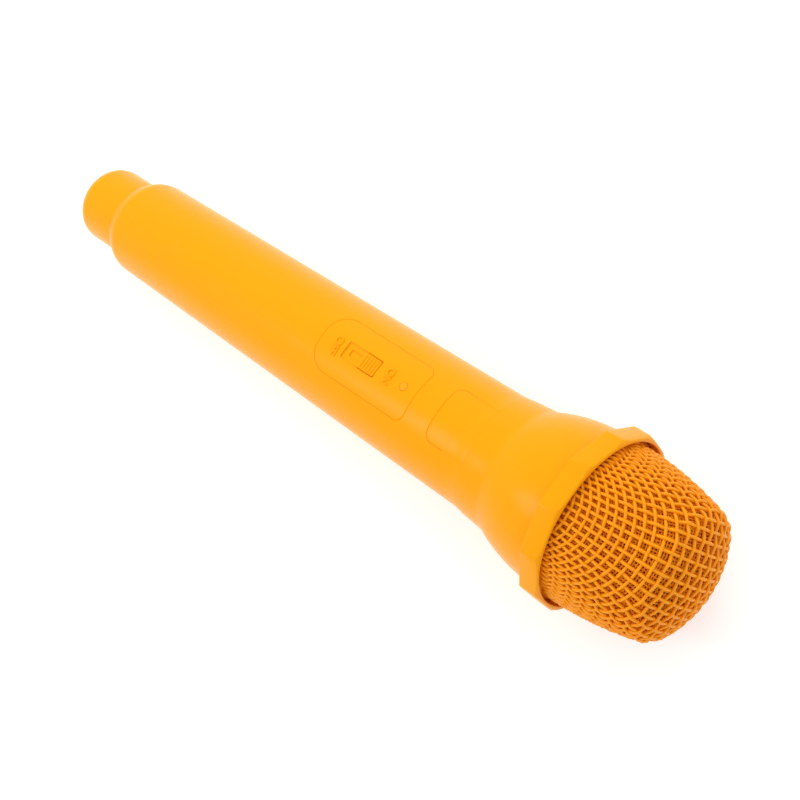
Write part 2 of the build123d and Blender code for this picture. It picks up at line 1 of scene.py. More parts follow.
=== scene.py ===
"""Visual model of a toy hand microphone: a glossy orange moulded handle with a painted wire grille.

Lengths are in millimetres in the code and become metres when a mesh is made. The long axis is X, with the
tail end at 0 and the grille at the far end, and +Z leaves through the switch plate.
"""

import logging
from collections.abc import Callable, Iterable, Sequence
from dataclasses import dataclass, field
from enum import Enum
from math import asin, atan2, copysign, cos, hypot, pi, radians, sin, sqrt, tan, tau

import bmesh
import bpy
import numpy as np
from bpy.types import Material, Mesh, Node, NodeSocket, NodeTree, Object
from mathutils import Matrix, Vector
from mathutils.geometry import delaunay_2d_cdt


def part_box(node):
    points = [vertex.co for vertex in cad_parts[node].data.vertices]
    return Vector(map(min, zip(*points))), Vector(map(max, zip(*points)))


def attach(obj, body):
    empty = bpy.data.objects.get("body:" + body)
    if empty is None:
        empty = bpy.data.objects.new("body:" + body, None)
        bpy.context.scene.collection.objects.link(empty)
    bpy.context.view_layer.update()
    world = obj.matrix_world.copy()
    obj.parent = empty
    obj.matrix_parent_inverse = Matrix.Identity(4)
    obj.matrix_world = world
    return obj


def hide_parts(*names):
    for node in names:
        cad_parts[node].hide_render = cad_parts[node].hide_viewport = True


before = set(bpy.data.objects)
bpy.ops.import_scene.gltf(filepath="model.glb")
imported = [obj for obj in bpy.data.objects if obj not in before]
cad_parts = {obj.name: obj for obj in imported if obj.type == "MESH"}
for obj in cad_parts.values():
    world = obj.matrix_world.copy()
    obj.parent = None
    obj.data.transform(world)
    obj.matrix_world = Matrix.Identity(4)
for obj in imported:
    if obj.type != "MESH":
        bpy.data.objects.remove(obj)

LOG = logging.getLogger("microphone")
MM = 0.001
MOTTLE = 22.0  # size of the faint unevenness of a pigment, in millimetres
SINK = 0.6  # depth of the rounded rims at the grooves, as a share of their width
QUARTER = [radians(22.5 * k) for k in range(5)]  # angles of a quarter round
HEAD_STEPS = 12  # chords along the head edge of the tile and its pocket
Point = tuple[float, float]
Place = tuple[float, float, float]
Loop = list[Point]
Corners = Sequence[Place]  # profile corners as (x, r, rounding radius)
Height = Callable[[float, float], float]


class Body(Enum):
    """Rigid bodies that the pieces ride on."""

    HANDLE = "handle"
    SLIDER = "switch_slider"
    DOOR = "battery_door"
    SCREW = "door_screw"


# ---------------- nodes and finishes


def linear(code: str, alpha: float = 1.0) -> tuple[float, float, float, float]:
    """Turn an sRGB hex colour into linear values.

    Args:
        code: Colour as six hex digits after a hash.
        alpha: Opacity to append.

    Returns:
        Red, green, blue and alpha.
    """
    values = [int(code[k : k + 2], 16) / 255 for k in (1, 3, 5)]
    red, green, blue = (v / 12.92 if v <= 0.04045 else ((v + 0.055) / 1.055) ** 2.4 for v in values)
    return red, green, blue, alpha


def add(tree: NodeTree, kind: str, inputs: dict | None = None, **settings) -> Node:
    """Add a node, set its properties and fill or link its inputs.

    Args:
        tree: Node tree that gets the node.
        kind: Node type name.
        inputs: Socket name or index to a value, an output socket, or a node whose first output is meant.
        settings: Node properties.

    Returns:
        The new node.
    """
    node = tree.nodes.new(kind)
    for name, value in settings.items():
        setattr(node, name, value)
    for name, value in (inputs or {}).items():
        if isinstance(value, Node):
            value = next(socket for socket in value.outputs if socket.enabled)
        if isinstance(value, NodeSocket):
            tree.links.new(value, node.inputs[name])
        else:
            node.inputs[name].default_value = value
    return node


@dataclass(frozen=True)
class Finish:
    """Surface of one real material.

    Attributes:
        name: The material's common name and how it was made.
        colour: Base colour, sRGB hex.
        dark: Colour of the faint mottle in the base.
        roughness: Mean roughness.
        roughness_spread: How far roughness varies over the surface.
        grain: Size of the surface's waviness or grain in millimetres.
        relief: Height of that waviness in millimetres.
        metallic: 1 for bare metal.
        ior: Index of refraction of a non-metal.
        specular: Share of the usual gloss for that index, 0.5 being all of it.
        coat: Weight of the clear gloss over the base.
        subsurface: Weight of light spread under the skin.
        transmission: 1 for clear plastic.
    """

    name: str
    colour: str
    dark: str
    roughness: float
    roughness_spread: float = 0.04
    grain: float = 6.0
    relief: float = 0.01
    metallic: float = 0.0
    ior: float = 1.5
    specular: float = 0.5
    coat: float = 0.0
    subsurface: float = 0.0
    transmission: float = 0.0

    def make(self) -> Material:
        """Build the material once and return it afterwards.

        Returns:
            The Blender material.
        """
        made = bpy.data.materials.get(self.name)
        if made:
            return made
        material = bpy.data.materials.new(self.name)
        material.use_nodes = True
        tree = material.node_tree
        tree.nodes.clear()
        place = add(tree, "ShaderNodeTexCoord").outputs["Object"]
        noise = add(tree, "ShaderNodeTexNoise", {
            "Vector": place, "Scale": 1 / (self.grain * MM), "Detail": 3.0, "Roughness": 0.5,
        })
        spread = add(tree, "ShaderNodeMapRange", {
            "Value": noise, "To Min": self.roughness - self.roughness_spread,
            "To Max": self.roughness + self.roughness_spread,
        })
        bump = add(tree, "ShaderNodeBump", {"Height": noise, "Strength": 0.5, "Distance": self.relief * MM})
        shader = add(tree, "ShaderNodeBsdfPrincipled", {
            "Base Color": self.pattern(tree, place), "Roughness": spread, "Normal": bump,
            "Metallic": self.metallic, "IOR": self.ior, "Specular IOR Level": self.specular,
            "Coat Weight": self.coat, "Coat Roughness": 0.08, "Subsurface Weight": self.subsurface,
            "Subsurface Radius": (1.0, 0.45, 0.15), "Subsurface Scale": 1.2 * MM,
            "Transmission Weight": self.transmission,
        })
        add(tree, "ShaderNodeOutputMaterial", {"Surface": shader})
        return material

    def pattern(self, tree: NodeTree, place: NodeSocket) -> Node:
        """Add the nodes of the base colour, a faint mottle.

        Args:
            tree: The material's tree.
            place: Socket of the place on the object, in metres.

        Returns:
            Node whose first output is the colour.
        """
        mottle = add(tree, "ShaderNodeTexNoise", {"Vector": place, "Scale": 1 / (MOTTLE * MM), "Detail": 2.0})
        node = add(tree, "ShaderNodeMix", {"Factor": mottle}, data_type="RGBA")
        node.inputs["A"].default_value = linear(self.colour)
        node.inputs["B"].default_value = linear(self.dark)
        return node


@dataclass(frozen=True)
class PrintedBoard(Finish):
    """Laminate whose copper tracks show as paler lines under the lacquer."""

    track: str = "#2F7A3C"
    spacing: float = 2.54

    def pattern(self, tree: NodeTree, place: NodeSocket) -> Node:
        """Draw tracks of broken lines on the laminate's grid."""
        return add(tree, "ShaderNodeTexBrick", {
            "Vector": place, "Color1": linear(self.colour), "Color2": linear(self.dark),
            "Mortar": linear(self.track), "Scale": 1 / (self.spacing * MM), "Mortar Size": 0.16,
            "Brick Width": 3.7, "Row Height": 0.5,
        }, offset=0.37)


# ABS, injection moulded and polished, dyed through: an even gloss with the faintest waviness from the mould.
ORANGE_ABS = Finish("moulded_orange_abs", "#FFA800", "#FFA600", 0.27, 0.02, 9.0, 0.012, specular=0.11)
# The same ABS from an etched mould, duller, with painted shade: its colour is darker than the outer ABS's to
# stand for the shade that falls on inner faces.
ORANGE_ABS_SHADED = Finish("etched_orange_abs", "#F08C10", "#E6820C", 0.5, 0.05, 0.6, 0.01, specular=0.3)
# Steel wire under sprayed enamel: glossy, slightly uneven where the paint ran thin over the knuckles.
ENAMELLED_WIRE = Finish("enamelled_steel_wire", "#FFA50A", "#FF9C07", 0.32, 0.08, 0.7, 0.02, specular=0.2)
# ABS, dyed through and thin enough for a lamp to shine through it.
ORANGE_LENS = Finish(
    "translucent_orange_abs", "#FFAA0C", "#FFA508", 0.2, 0.02, 4.0, 0.004, specular=0.22, subsurface=0.2,
)
# Polystyrene, moulded black, satin.
BLACK_STYRENE = Finish("moulded_black_polystyrene", "#1B1B1D", "#161618", 0.5, 0.06, 0.8, 0.012)
# Glass-fibre laminate under green solder lacquer, with tracks on a 2.54 mm grid.
GREEN_LAMINATE = PrintedBoard("lacquered_glass_fibre", "#0F5A2B", "#0D5228", 0.35, 0.05, 0.5, 0.008, coat=0.3)
# Tinned steel sheet, pressed: greyish, with soft spangle.
TINNED_STEEL = Finish("pressed_tinned_steel", "#C9C9C6", "#BDBDBA", 0.28, 0.08, 0.5, 0.006, metallic=1.0)
# Steel, bright zinc plated: bluish, with soft grain.
ZINC_STEEL = Finish("zinc_plated_steel", "#C4C8CE", "#B4B8BF", 0.26, 0.08, 0.4, 0.006, metallic=1.0)
# Spring steel, nickel plated: warmer and smoother than zinc.
NICKEL_STEEL = Finish("nickel_plated_spring_steel", "#D2CCBF", "#C5BEB0", 0.2, 0.05, 0.4, 0.004, metallic=1.0)
# Shrunk PVC sleeve of a dry cell: plain and glossy, with a copper-coloured end.
CELL_SLEEVE = Finish("cell_shrink_sleeve", "#2B3038", "#252A31", 0.25, 0.03, 4.0, 0.01, coat=0.4)
CELL_BAND = Finish("cell_sleeve_band", "#C98A3A", "#BE8034", 0.25, 0.03, 4.0, 0.01, coat=0.4)
# Epoxy, cast clear with an amber tint.
AMBER_EPOXY = Finish(
    "cast_amber_epoxy", "#FFB347", "#FFAA3C", 0.08, 0.02, 4.0, 0.002, ior=1.54, transmission=0.7,
)
# Soft PVC, extruded over copper: a plain, slightly waxy red.
RED_PVC = Finish("red_pvc_cover", "#A31712", "#941410", 0.4, 0.05, 0.8, 0.01)
# Silicone rubber, moulded and dusty matt, dyed near the case's colour.
ORANGE_RUBBER = Finish("moulded_orange_rubber", "#EE9018", "#E48812", 0.7, 0.08, 0.5, 0.02, specular=0.3)
# Wool felt, pressed and dyed: dull, with a short nap.
ORANGE_FELT = Finish("pressed_orange_felt", "#C87820", "#B46A18", 0.95, 0.03, 0.15, 0.05, specular=0.2)


# ---------------- outlines and shells


def ease(share: float) -> float:
    """Soft step from 0 to 1, level at both ends."""
    share = min(max(share, 0), 1)
    return share * share * (3 - 2 * share)


def swing(centre: Vector, arm: Vector, angle: float) -> Point:
    """End of an arm that is turned about a centre."""
    c, s = cos(angle), sin(angle)
    return centre.x + arm.x * c - arm.y * s, centre.y + arm.x * s + arm.y * c


def rounded(corners: Corners, steps: int = 6) -> Loop:
    """Draw an open profile whose corners are rounded.

    Args:
        corners: The corners, where a radius of 0 keeps one sharp.
        steps: Chords in each rounding.

    Returns:
        The profile's points in order.
    """
    points: Loop = []
    for k, (x, r, radius) in enumerate(corners):
        here = Vector((x, r))
        if radius == 0 or k in (0, len(corners) - 1):
            points.append((x, r))
            continue
        back = (Vector(corners[k - 1][:2]) - here).normalized()
        ahead = (Vector(corners[k + 1][:2]) - here).normalized()
        half = back.angle(ahead) / 2
        centre = here + (back + ahead).normalized() * radius / sin(half)
        start = here + back * radius / tan(half) - centre
        turn = start.angle_signed(here + ahead * radius / tan(half) - centre)
        points += [swing(centre, start, -turn * step / steps) for step in range(steps + 1)]
    return points


def inside(loop: Loop, points: np.ndarray) -> np.ndarray:
    """Tell which points lie inside a closed loop.

    Args:
        loop: The loop's corners.
        points: Array of points, one a row.

    Returns:
        Boolean array, one value for each point.
    """
    a = np.array(loop)
    b = np.roll(a, -1, axis=0)
    x, y = points[:, :1], points[:, 1:]
    crosses = (a[:, 1] > y) != (b[:, 1] > y)
    with np.errstate(divide="ignore", invalid="ignore"):
        meets = x < (b[:, 0] - a[:, 0]) * (y - a[:, 1]) / (b[:, 1] - a[:, 1]) + a[:, 0]
    return (crosses & meets).sum(axis=1) % 2 == 1


@dataclass
class Plan:
    """Rounded rectangle in X and Y whose offsets all have matching points.

    Attributes:
        start: Tail end along X.
        end: Head end along X.
        width: Full width along Y.
        tail_corner: Radius of the tail corners.
        head_corner: Radius of the head corners.
        y: Middle along Y.
        steps: Chords along each side, each end and each corner.
    """

    start: float
    end: float
    width: float
    tail_corner: float
    head_corner: float
    y: float = 0.0
    steps: tuple[int, int, int] = (24, 8, 10)

    def path(self, margin: float = 0.0, open_head: bool = False) -> Loop:
        """Outline from the head end's middle or, if open, from one head corner round the tail to the other.

        Args:
            margin: Distance by which the outline is grown.
            open_head: Leave the head end out, so that the sides run straight to it.

        Returns:
            The outline's points.
        """
        low, high = self.start - margin, self.end + (0 if open_head else margin)
        half = self.width / 2 + margin
        tail = max(self.tail_corner + margin, 1e-3)
        head = 0.0 if open_head else max(self.head_corner + margin, 1e-3)
        sides, ends, corners = self.steps
        points: Loop = []

        def run(a: Point, b: Point, steps: int) -> None:
            """Add a straight stretch without its last point."""
            for k in range(steps):
                points.append((a[0] + (b[0] - a[0]) * k / steps, a[1] + (b[1] - a[1]) * k / steps))

        def turn(centre: Point, radius: float, first: float) -> None:
            """Add a quarter circle without its last point."""
            for k in range(corners):
                angle = radians(first + 90 * k / corners)
                points.append((centre[0] + radius * cos(angle), centre[1] + radius * sin(angle)))

        run((high - head, half), (low + tail, half), sides)
        turn((low + tail, half - tail), tail, 90)
        run((low, half - tail), (low, tail - half), ends)
        turn((low + tail, tail - half), tail, 180)
        if open_head:
            run((low + tail, -half), (high, -half), sides)
            points.append((high, -half))
        else:
            run((low + tail, -half), (high - head, -half), sides)
            turn((high - head, head - half), head, 270)
            run((high, head - half), (high, half - head), ends)
            turn((high - head, half - head), head, 0)
        return [(x, y + self.y) for x, y in points]

    def grid(self, spacing: float) -> Loop:
        """Points on a square grid that covers the plan."""
        xs = np.arange(self.start, self.end, spacing)
        ys = np.arange(self.y - self.width / 2, self.y + self.width / 2, spacing)
        return [(float(x), float(y)) for x in xs for y in ys]


@dataclass
class TileSeat(Plan):
    """Plan of the tile, whose side gaps close up in front of a station."""

    fade_start: float = 0.0
    fade_run: float = 1.5
    least: float = 0.08

    def share(self, x: float) -> float:
        """Share of the gap and its rounding that is left at a station."""
        return 1 - (1 - self.least) * ease((x - self.fade_start) / self.fade_run)

    def path(self, margin: float = 0.0, open_head: bool = False) -> Loop:
        """Outline whose sides keep only their share of the margin."""
        half = self.width / 2
        return [
            (x, copysign(half + margin * self.share(x), y) if x > self.fade_start else y)
            for x, y in super().path(margin, open_head)
        ]

    def ring(self, margin: float = 0.0) -> Loop:
        """Open outline closed by points along its head edge, so that a lifted patch follows the skin."""
        sides = self.path(margin, open_head=True)
        return sides + [
            (self.end, float(y)) for y in np.linspace(sides[-1][1], sides[0][1], HEAD_STEPS + 1)[1:-1]
        ]

    def sunk(self, form: "BarrelForm", depth: float) -> Height:
        """Height of the skin less the share of a depth."""
        return lambda x, y: sqrt((form.radius(x) - depth * self.share(x)) ** 2 - y * y)


def level(height: float) -> Height:
    """Height function of a flat face."""
    return lambda x, y: height


def disc(x: float, y: float, radius: float, steps: int = 32) -> Loop:
    """Circle's points about a centre."""
    angles = [tau * k / steps for k in range(steps)]
    return [(x + radius * cos(a), y + radius * sin(a)) for a in angles]


@dataclass
class Shell:
    """Vertices and faces of one piece, in millimetres."""

    points: list[Place] = field(default_factory=list)
    faces: list[tuple[int, ...]] = field(default_factory=list)

    def strip(self, loops: Iterable[Sequence[Sequence[float]]], closed: bool = True) -> None:
        """Join loops of equal length with bands of quads.

        Args:
            loops: The loops in order, as 3-D points.
            closed: Whether each loop closes on itself.
        """
        rows = [list(loop) for loop in loops]
        first, count = len(self.points), len(rows[0])
        for row in rows:
            self.points += [tuple(p) for p in row]
        for k in range(len(rows) - 1):
            for j in range(count if closed else count - 1):
                a, b = first + k * count + j, first + k * count + (j + 1) % count
                self.faces.append((a, b, b + count, a + count))

    def turned(self, profile: Sequence[Point], segments: int = 128, axis: Point | None = None) -> None:
        """Revolve a profile about the long axis, or about an upright axis at a plan point.

        Args:
            profile: Points as (distance along the axis, radius), closed by the axis or on themselves.
            segments: Steps round the axis.
            axis: Plan point of an upright axis, or None for the long axis.
        """
        angles = [tau * k / segments for k in range(segments)]
        ring = [(cos(a), sin(a)) for a in angles]
        if axis is None:
            self.strip([[(x, r * c, r * s) for c, s in ring] for x, r in profile])
        else:
            self.strip([[(axis[0] + r * c, axis[1] + r * s, z) for c, s in ring] for z, r in profile])

    def shift(self, offset: Vector) -> None:
        """Move every point of the shell."""
        self.points = [tuple(Vector(p) + offset) for p in self.points]

    def cap(self, row: Sequence[Sequence[float]]) -> None:
        """Close a flat loop with one face."""
        self.points += [tuple(p) for p in row]
        self.faces.append(tuple(range(len(self.points) - len(row), len(self.points))))

    def bands(self, loops: Iterable[tuple[Loop, Height]], closed: bool = True) -> None:
        """Join plan loops, each lifted to its own height."""
        self.strip([[(x, y, lift(x, y)) for x, y in loop] for loop, lift in loops], closed)

    def patch(
        self, outline: Loop, lift: Callable[[float, float], Place], holes: Sequence[Loop] = (),
        grid: Loop = (), clearance: float = 0.5,
    ) -> None:
        """Fill a flat outline round its holes with triangles and lift them on to a surface.

        Args:
            outline: Outer loop in two dimensions.
            lift: Gives the 3-D point of a 2-D point.
            holes: Loops left open.
            grid: Extra points that make the triangles follow a curved surface.
            clearance: Least distance of an extra point from any loop's points.
        """
        flat: Loop = []
        edges: list[tuple[int, int]] = []
        for loop in (outline, *holes):
            first = len(flat)
            flat += loop
            edges += [(first + k, first + (k + 1) % len(loop)) for k in range(len(loop))]
        if len(grid):
            extra = np.array(grid)
            keep = inside(outline, extra)
            for hole in holes:
                keep &= ~inside(hole, extra)
            extra = extra[keep]
            fence = np.array(flat)
            near = np.array([np.min(np.sum((fence - p) ** 2, axis=1)) for p in extra])
            flat += [tuple(p) for p in extra[near > clearance**2]]
        found, _, triangles, *_ = delaunay_2d_cdt([Vector(p) for p in flat], edges, [], 0, 1e-6)
        middles = np.array([sum((found[i] for i in t), Vector((0, 0))) / 3 for t in triangles])
        keep = inside(outline, middles)
        for hole in holes:
            keep &= ~inside(hole, middles)
        first = len(self.points)
        self.points += [tuple(lift(p.x, p.y)) for p in found]
        self.faces += [tuple(first + i for i in t) for t, kept in zip(triangles, keep) if kept]

    def cover(
        self, outline: Loop, height: Height, holes: Sequence[Loop] = (), grid: Loop = (),
        clearance: float = 0.5,
    ) -> None:
        """Fill a plan outline as patch does and lift it to a height."""
        self.patch(outline, lambda x, y: (x, y, height(x, y)), holes, grid, clearance)

    def slab(self, loop: Loop, low: float, high: float, edge: float = 0.0, edge_low: bool = False) -> None:
        """Closed plate between two heights, its top rim rounded.

        Args:
            loop: Convex plan outline.
            low: Height of the underside.
            high: Height of the top.
            edge: Rounding of the rim.
            edge_low: Round the lower rim too.
        """
        middle = np.mean(np.array(loop), axis=0)

        def shrunk(by: float) -> Loop:
            """Outline drawn in towards its middle."""
            away = np.array(loop) - middle
            size = np.linalg.norm(away, axis=1, keepdims=True)
            return [tuple(p) for p in middle + away * (1 - by / size)]

        steps = [k / 4 * pi / 2 for k in range(5)] if edge else [pi / 2]
        top = [(shrunk(edge * (1 - sin(a))), high - edge * (1 - cos(a))) for a in steps]
        foot = [(shrunk(edge * (1 - sin(a))), low + edge * (1 - cos(a))) for a in reversed(steps)]
        rows = top + (foot if edge_low else [(loop, low)])
        self.strip([[(x, y, z) for x, y in row] for row, z in rows])
        for row, z in (rows[0], rows[-1]):
            self.cap([(x, y, z) for x, y in row])

    def bare(self, name: str, sharp: float = 50.0) -> Mesh:
        """Turn the shell into a mesh with its doubles merged and its faces outwards.

        Args:
            name: The mesh's name.
            sharp: Edges steeper than this angle, in degrees, shade sharp.

        Returns:
            The mesh, in metres.
        """
        mesh = bpy.data.meshes.new(name)
        mesh.from_pydata([[c * MM for c in p] for p in self.points], [], self.faces)
        edit = bmesh.new()
        edit.from_mesh(mesh)
        bmesh.ops.remove_doubles(edit, verts=edit.verts, dist=0.002 * MM)
        bmesh.ops.dissolve_degenerate(edit, edges=edit.edges, dist=0.001 * MM)
        bmesh.ops.delete(edit, geom=[v for v in edit.verts if not v.link_faces], context="VERTS")
        bmesh.ops.recalc_face_normals(edit, faces=edit.faces)
        edit.to_mesh(mesh)
        edit.free()
        soften(mesh, sharp)
        return mesh

    def piece(
        self, name: str, replaces: Sequence[str] = (), finish: Finish = ORANGE_ABS,
        body: Body = Body.HANDLE, slot: str = "gloss_orange", sharp: float = 40.0,
        normal: Callable[[Vector], Vector | None] | None = None,
    ) -> Object:
        """Turn the shell into an object of the scene.

        Args:
            name: The piece's name.
            replaces: CAD nodes that it stands for.
            finish: Its material.
            body: The body that it rides on.
            slot: The record's material slot.
            sharp: Edges steeper than this angle, in degrees, shade sharp.
            normal: Gives the exact normal of a point on the skin, or None off it.

        Returns:
            The object.
        """
        mesh = self.bare(name, sharp)
        if normal:
            exact = [normal(v.co / MM) for v in mesh.vertices]
            custom = []
            for face in mesh.polygons:
                for corner in face.vertices:
                    n = exact[corner]
                    fits = n is not None and face.normal.dot(n) > cos(radians(30))
                    custom.append(n if fits else Vector((0, 0, 0)))
            mesh.normals_split_custom_set(custom)
        return settle(bpy.data.objects.new(name, mesh), finish, body, slot, replaces)


def soften(mesh: Mesh, sharp: float) -> None:
    """Shade a mesh smooth, apart from edges steeper than an angle in degrees."""
    mesh.shade_smooth()
    mesh.set_sharp_from_angle(angle=radians(sharp))


def linked(name: str, data: bpy.types.ID) -> Object:
    """New object in the scene."""
    item = bpy.data.objects.new(name, data)
    bpy.context.scene.collection.objects.link(item)
    return item


def evaluated(item: Object) -> Mesh:
    """Plain mesh of an object as its modifiers leave it. The object is removed."""
    mesh = bpy.data.meshes.new_from_object(item.evaluated_get(bpy.context.evaluated_depsgraph_get()))
    bpy.data.objects.remove(item)
    return mesh


def settle(
    item: Object, finish: Finish | None, body: Body, slot: str, replaces: Sequence[str] = ()
) -> Object:
    """Put an object into the scene on its body.

    Args:
        item: The object.
        finish: Its material, or None to keep what it has.
        body: The body that it rides on.
        slot: The record's material slot.
        replaces: CAD nodes that it stands for.

    Returns:
        The same object.
    """
    if item.name not in bpy.context.scene.collection.objects:
        bpy.context.scene.collection.objects.link(item)
    if finish:
        item.data.materials.clear()
        item.data.materials.append(finish.make())
    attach(item, body.value)
    if replaces:
        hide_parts(*replaces)
    LOG.info("%s: %d faces on %s", item.name, len(item.data.polygons), body.value)
    return item


def dress(node: str, finish: Finish) -> None:
    """Give a CAD node its finish.

    Args:
        node: The node's name.
        finish: The material for all its slots.
    """
    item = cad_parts[node]
    material = finish.make()
    if not item.data.materials:
        item.data.materials.append(material)
    for k in range(len(item.data.materials)):
        item.data.materials[k] = material
    LOG.info("%s: CAD node in %s", node, finish.name)


def span(node: str) -> tuple[Vector, Vector]:
    """Lowest and highest corners of a CAD node, in millimetres."""
    low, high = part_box(node)
    return Vector(low) / MM, Vector(high) / MM


# ---------------- the handle


@dataclass
class BarrelForm:
    """Outer form of the barrel, which the plates in it share.

    Attributes:
        start: Station of the tail shoulder.
        seam: Station of the neck seam.
        tail: Radius of the taper at the tail.
        neck: Radius of the taper where the mouth starts to flare.
        mouth: Radius at the seam.
        flare: Length of the mouth's flare.
        shoulder: Length of the tail's round.
        shoulder_radius: Radius where that round would meet the cap.
        toe: Length of the hollow end of the round.
        toe_turn: Share of its slope that the hollow end loses.
        edge: Rounding of the seam's edge.
    """

    start: float
    seam: float
    tail: float = 15.35
    neck: float = 17.3
    mouth: float = 17.85
    flare: float = 5.0
    shoulder: float = 6.0
    shoulder_radius: float = 12.8
    toe: float = 1.1
    toe_turn: float = 0.35
    edge: float = 0.16

    def taper(self, x: float) -> float:
        """Radius of the straight taper."""
        return self.tail + (self.neck - self.tail) * (x - self.start) / (self.seam - self.flare - self.start)

    def radius(self, x: float, edges: bool = True) -> float:
        """Radius of the skin at a station.

        Args:
            x: Station.
            edges: Include the small rounding at the seam.

        Returns:
            The radius.
        """
        radius = self.taper(x)
        if x < self.start + self.shoulder:
            slope = self.taper(1) - self.taper(0)
            crest = Vector((self.start + self.shoulder, self.taper(self.start + self.shoulder)))
            chord = Vector((self.start, self.shoulder_radius)) - crest
            inward = Vector((slope, -1)).normalized()
            arc = chord.length_squared / (2 * chord.dot(inward))
            centre = crest + inward * arc
            beyond = max(self.start + self.toe - x, 0)
            top = centre.y + sqrt(arc**2 - (max(x, self.start + self.toe) - centre.x) ** 2)
            steep = (centre.x - self.start - self.toe) / (top - centre.y)
            radius = top - beyond * steep * (1 - self.toe_turn * beyond / self.toe)
        run = x - (self.seam - self.flare)
        if run > 0:
            radius += (self.mouth - self.taper(self.seam)) * (run / self.flare) ** 2
        left = x - (self.seam - self.edge)
        if edges and left > 0:
            radius -= self.edge - sqrt(max(self.edge**2 - left**2, 0))
        return radius

    def height(self, depth: float = 0.0, side: int = 1) -> Height:
        """Height function of the skin over or under the axis, at a depth under the skin."""
        return lambda x, y: side * sqrt(max((self.radius(x) - depth) ** 2 - y * y, 0))

    def normal(self, place: Vector) -> Vector | None:
        """Exact normal of a point on the skin, or None off it."""
        if not self.start <= place.x <= self.seam - self.edge:
            return None
        across = Vector((0, place.y, place.z))
        if abs(across.length - self.radius(place.x)) > 0.004:
            return None
        step = 0.01
        slope = (self.radius(place.x + step) - self.radius(place.x - step)) / (2 * step)
        across.normalize()
        return Vector((-slope, across.y, across.z)).normalized()


def rim_steps(
    edge: float, start_margin: float = 0.0, inward: bool = True, steps: int = 4, sink: float = 1.0
) -> list[Point]:
    """Margins and depths of a quarter round that rolls from the skin into a wall.

    Args:
        edge: Radius of the round.
        start_margin: Margin of the wall.
        inward: True where the material lies outside the loop, as at an opening.
        steps: Chords in the round.
        sink: Depth of the round as a share of its width.

    Returns:
        Pairs of margin and depth, from the skin to the wall.
    """
    sign = 1 if inward else -1
    pairs = []
    for k in range(steps + 1):
        angle = pi / 2 * k / steps
        pairs.append((start_margin + sign * edge * (1 - sin(angle)), sink * edge * (1 - cos(angle))))
    return pairs


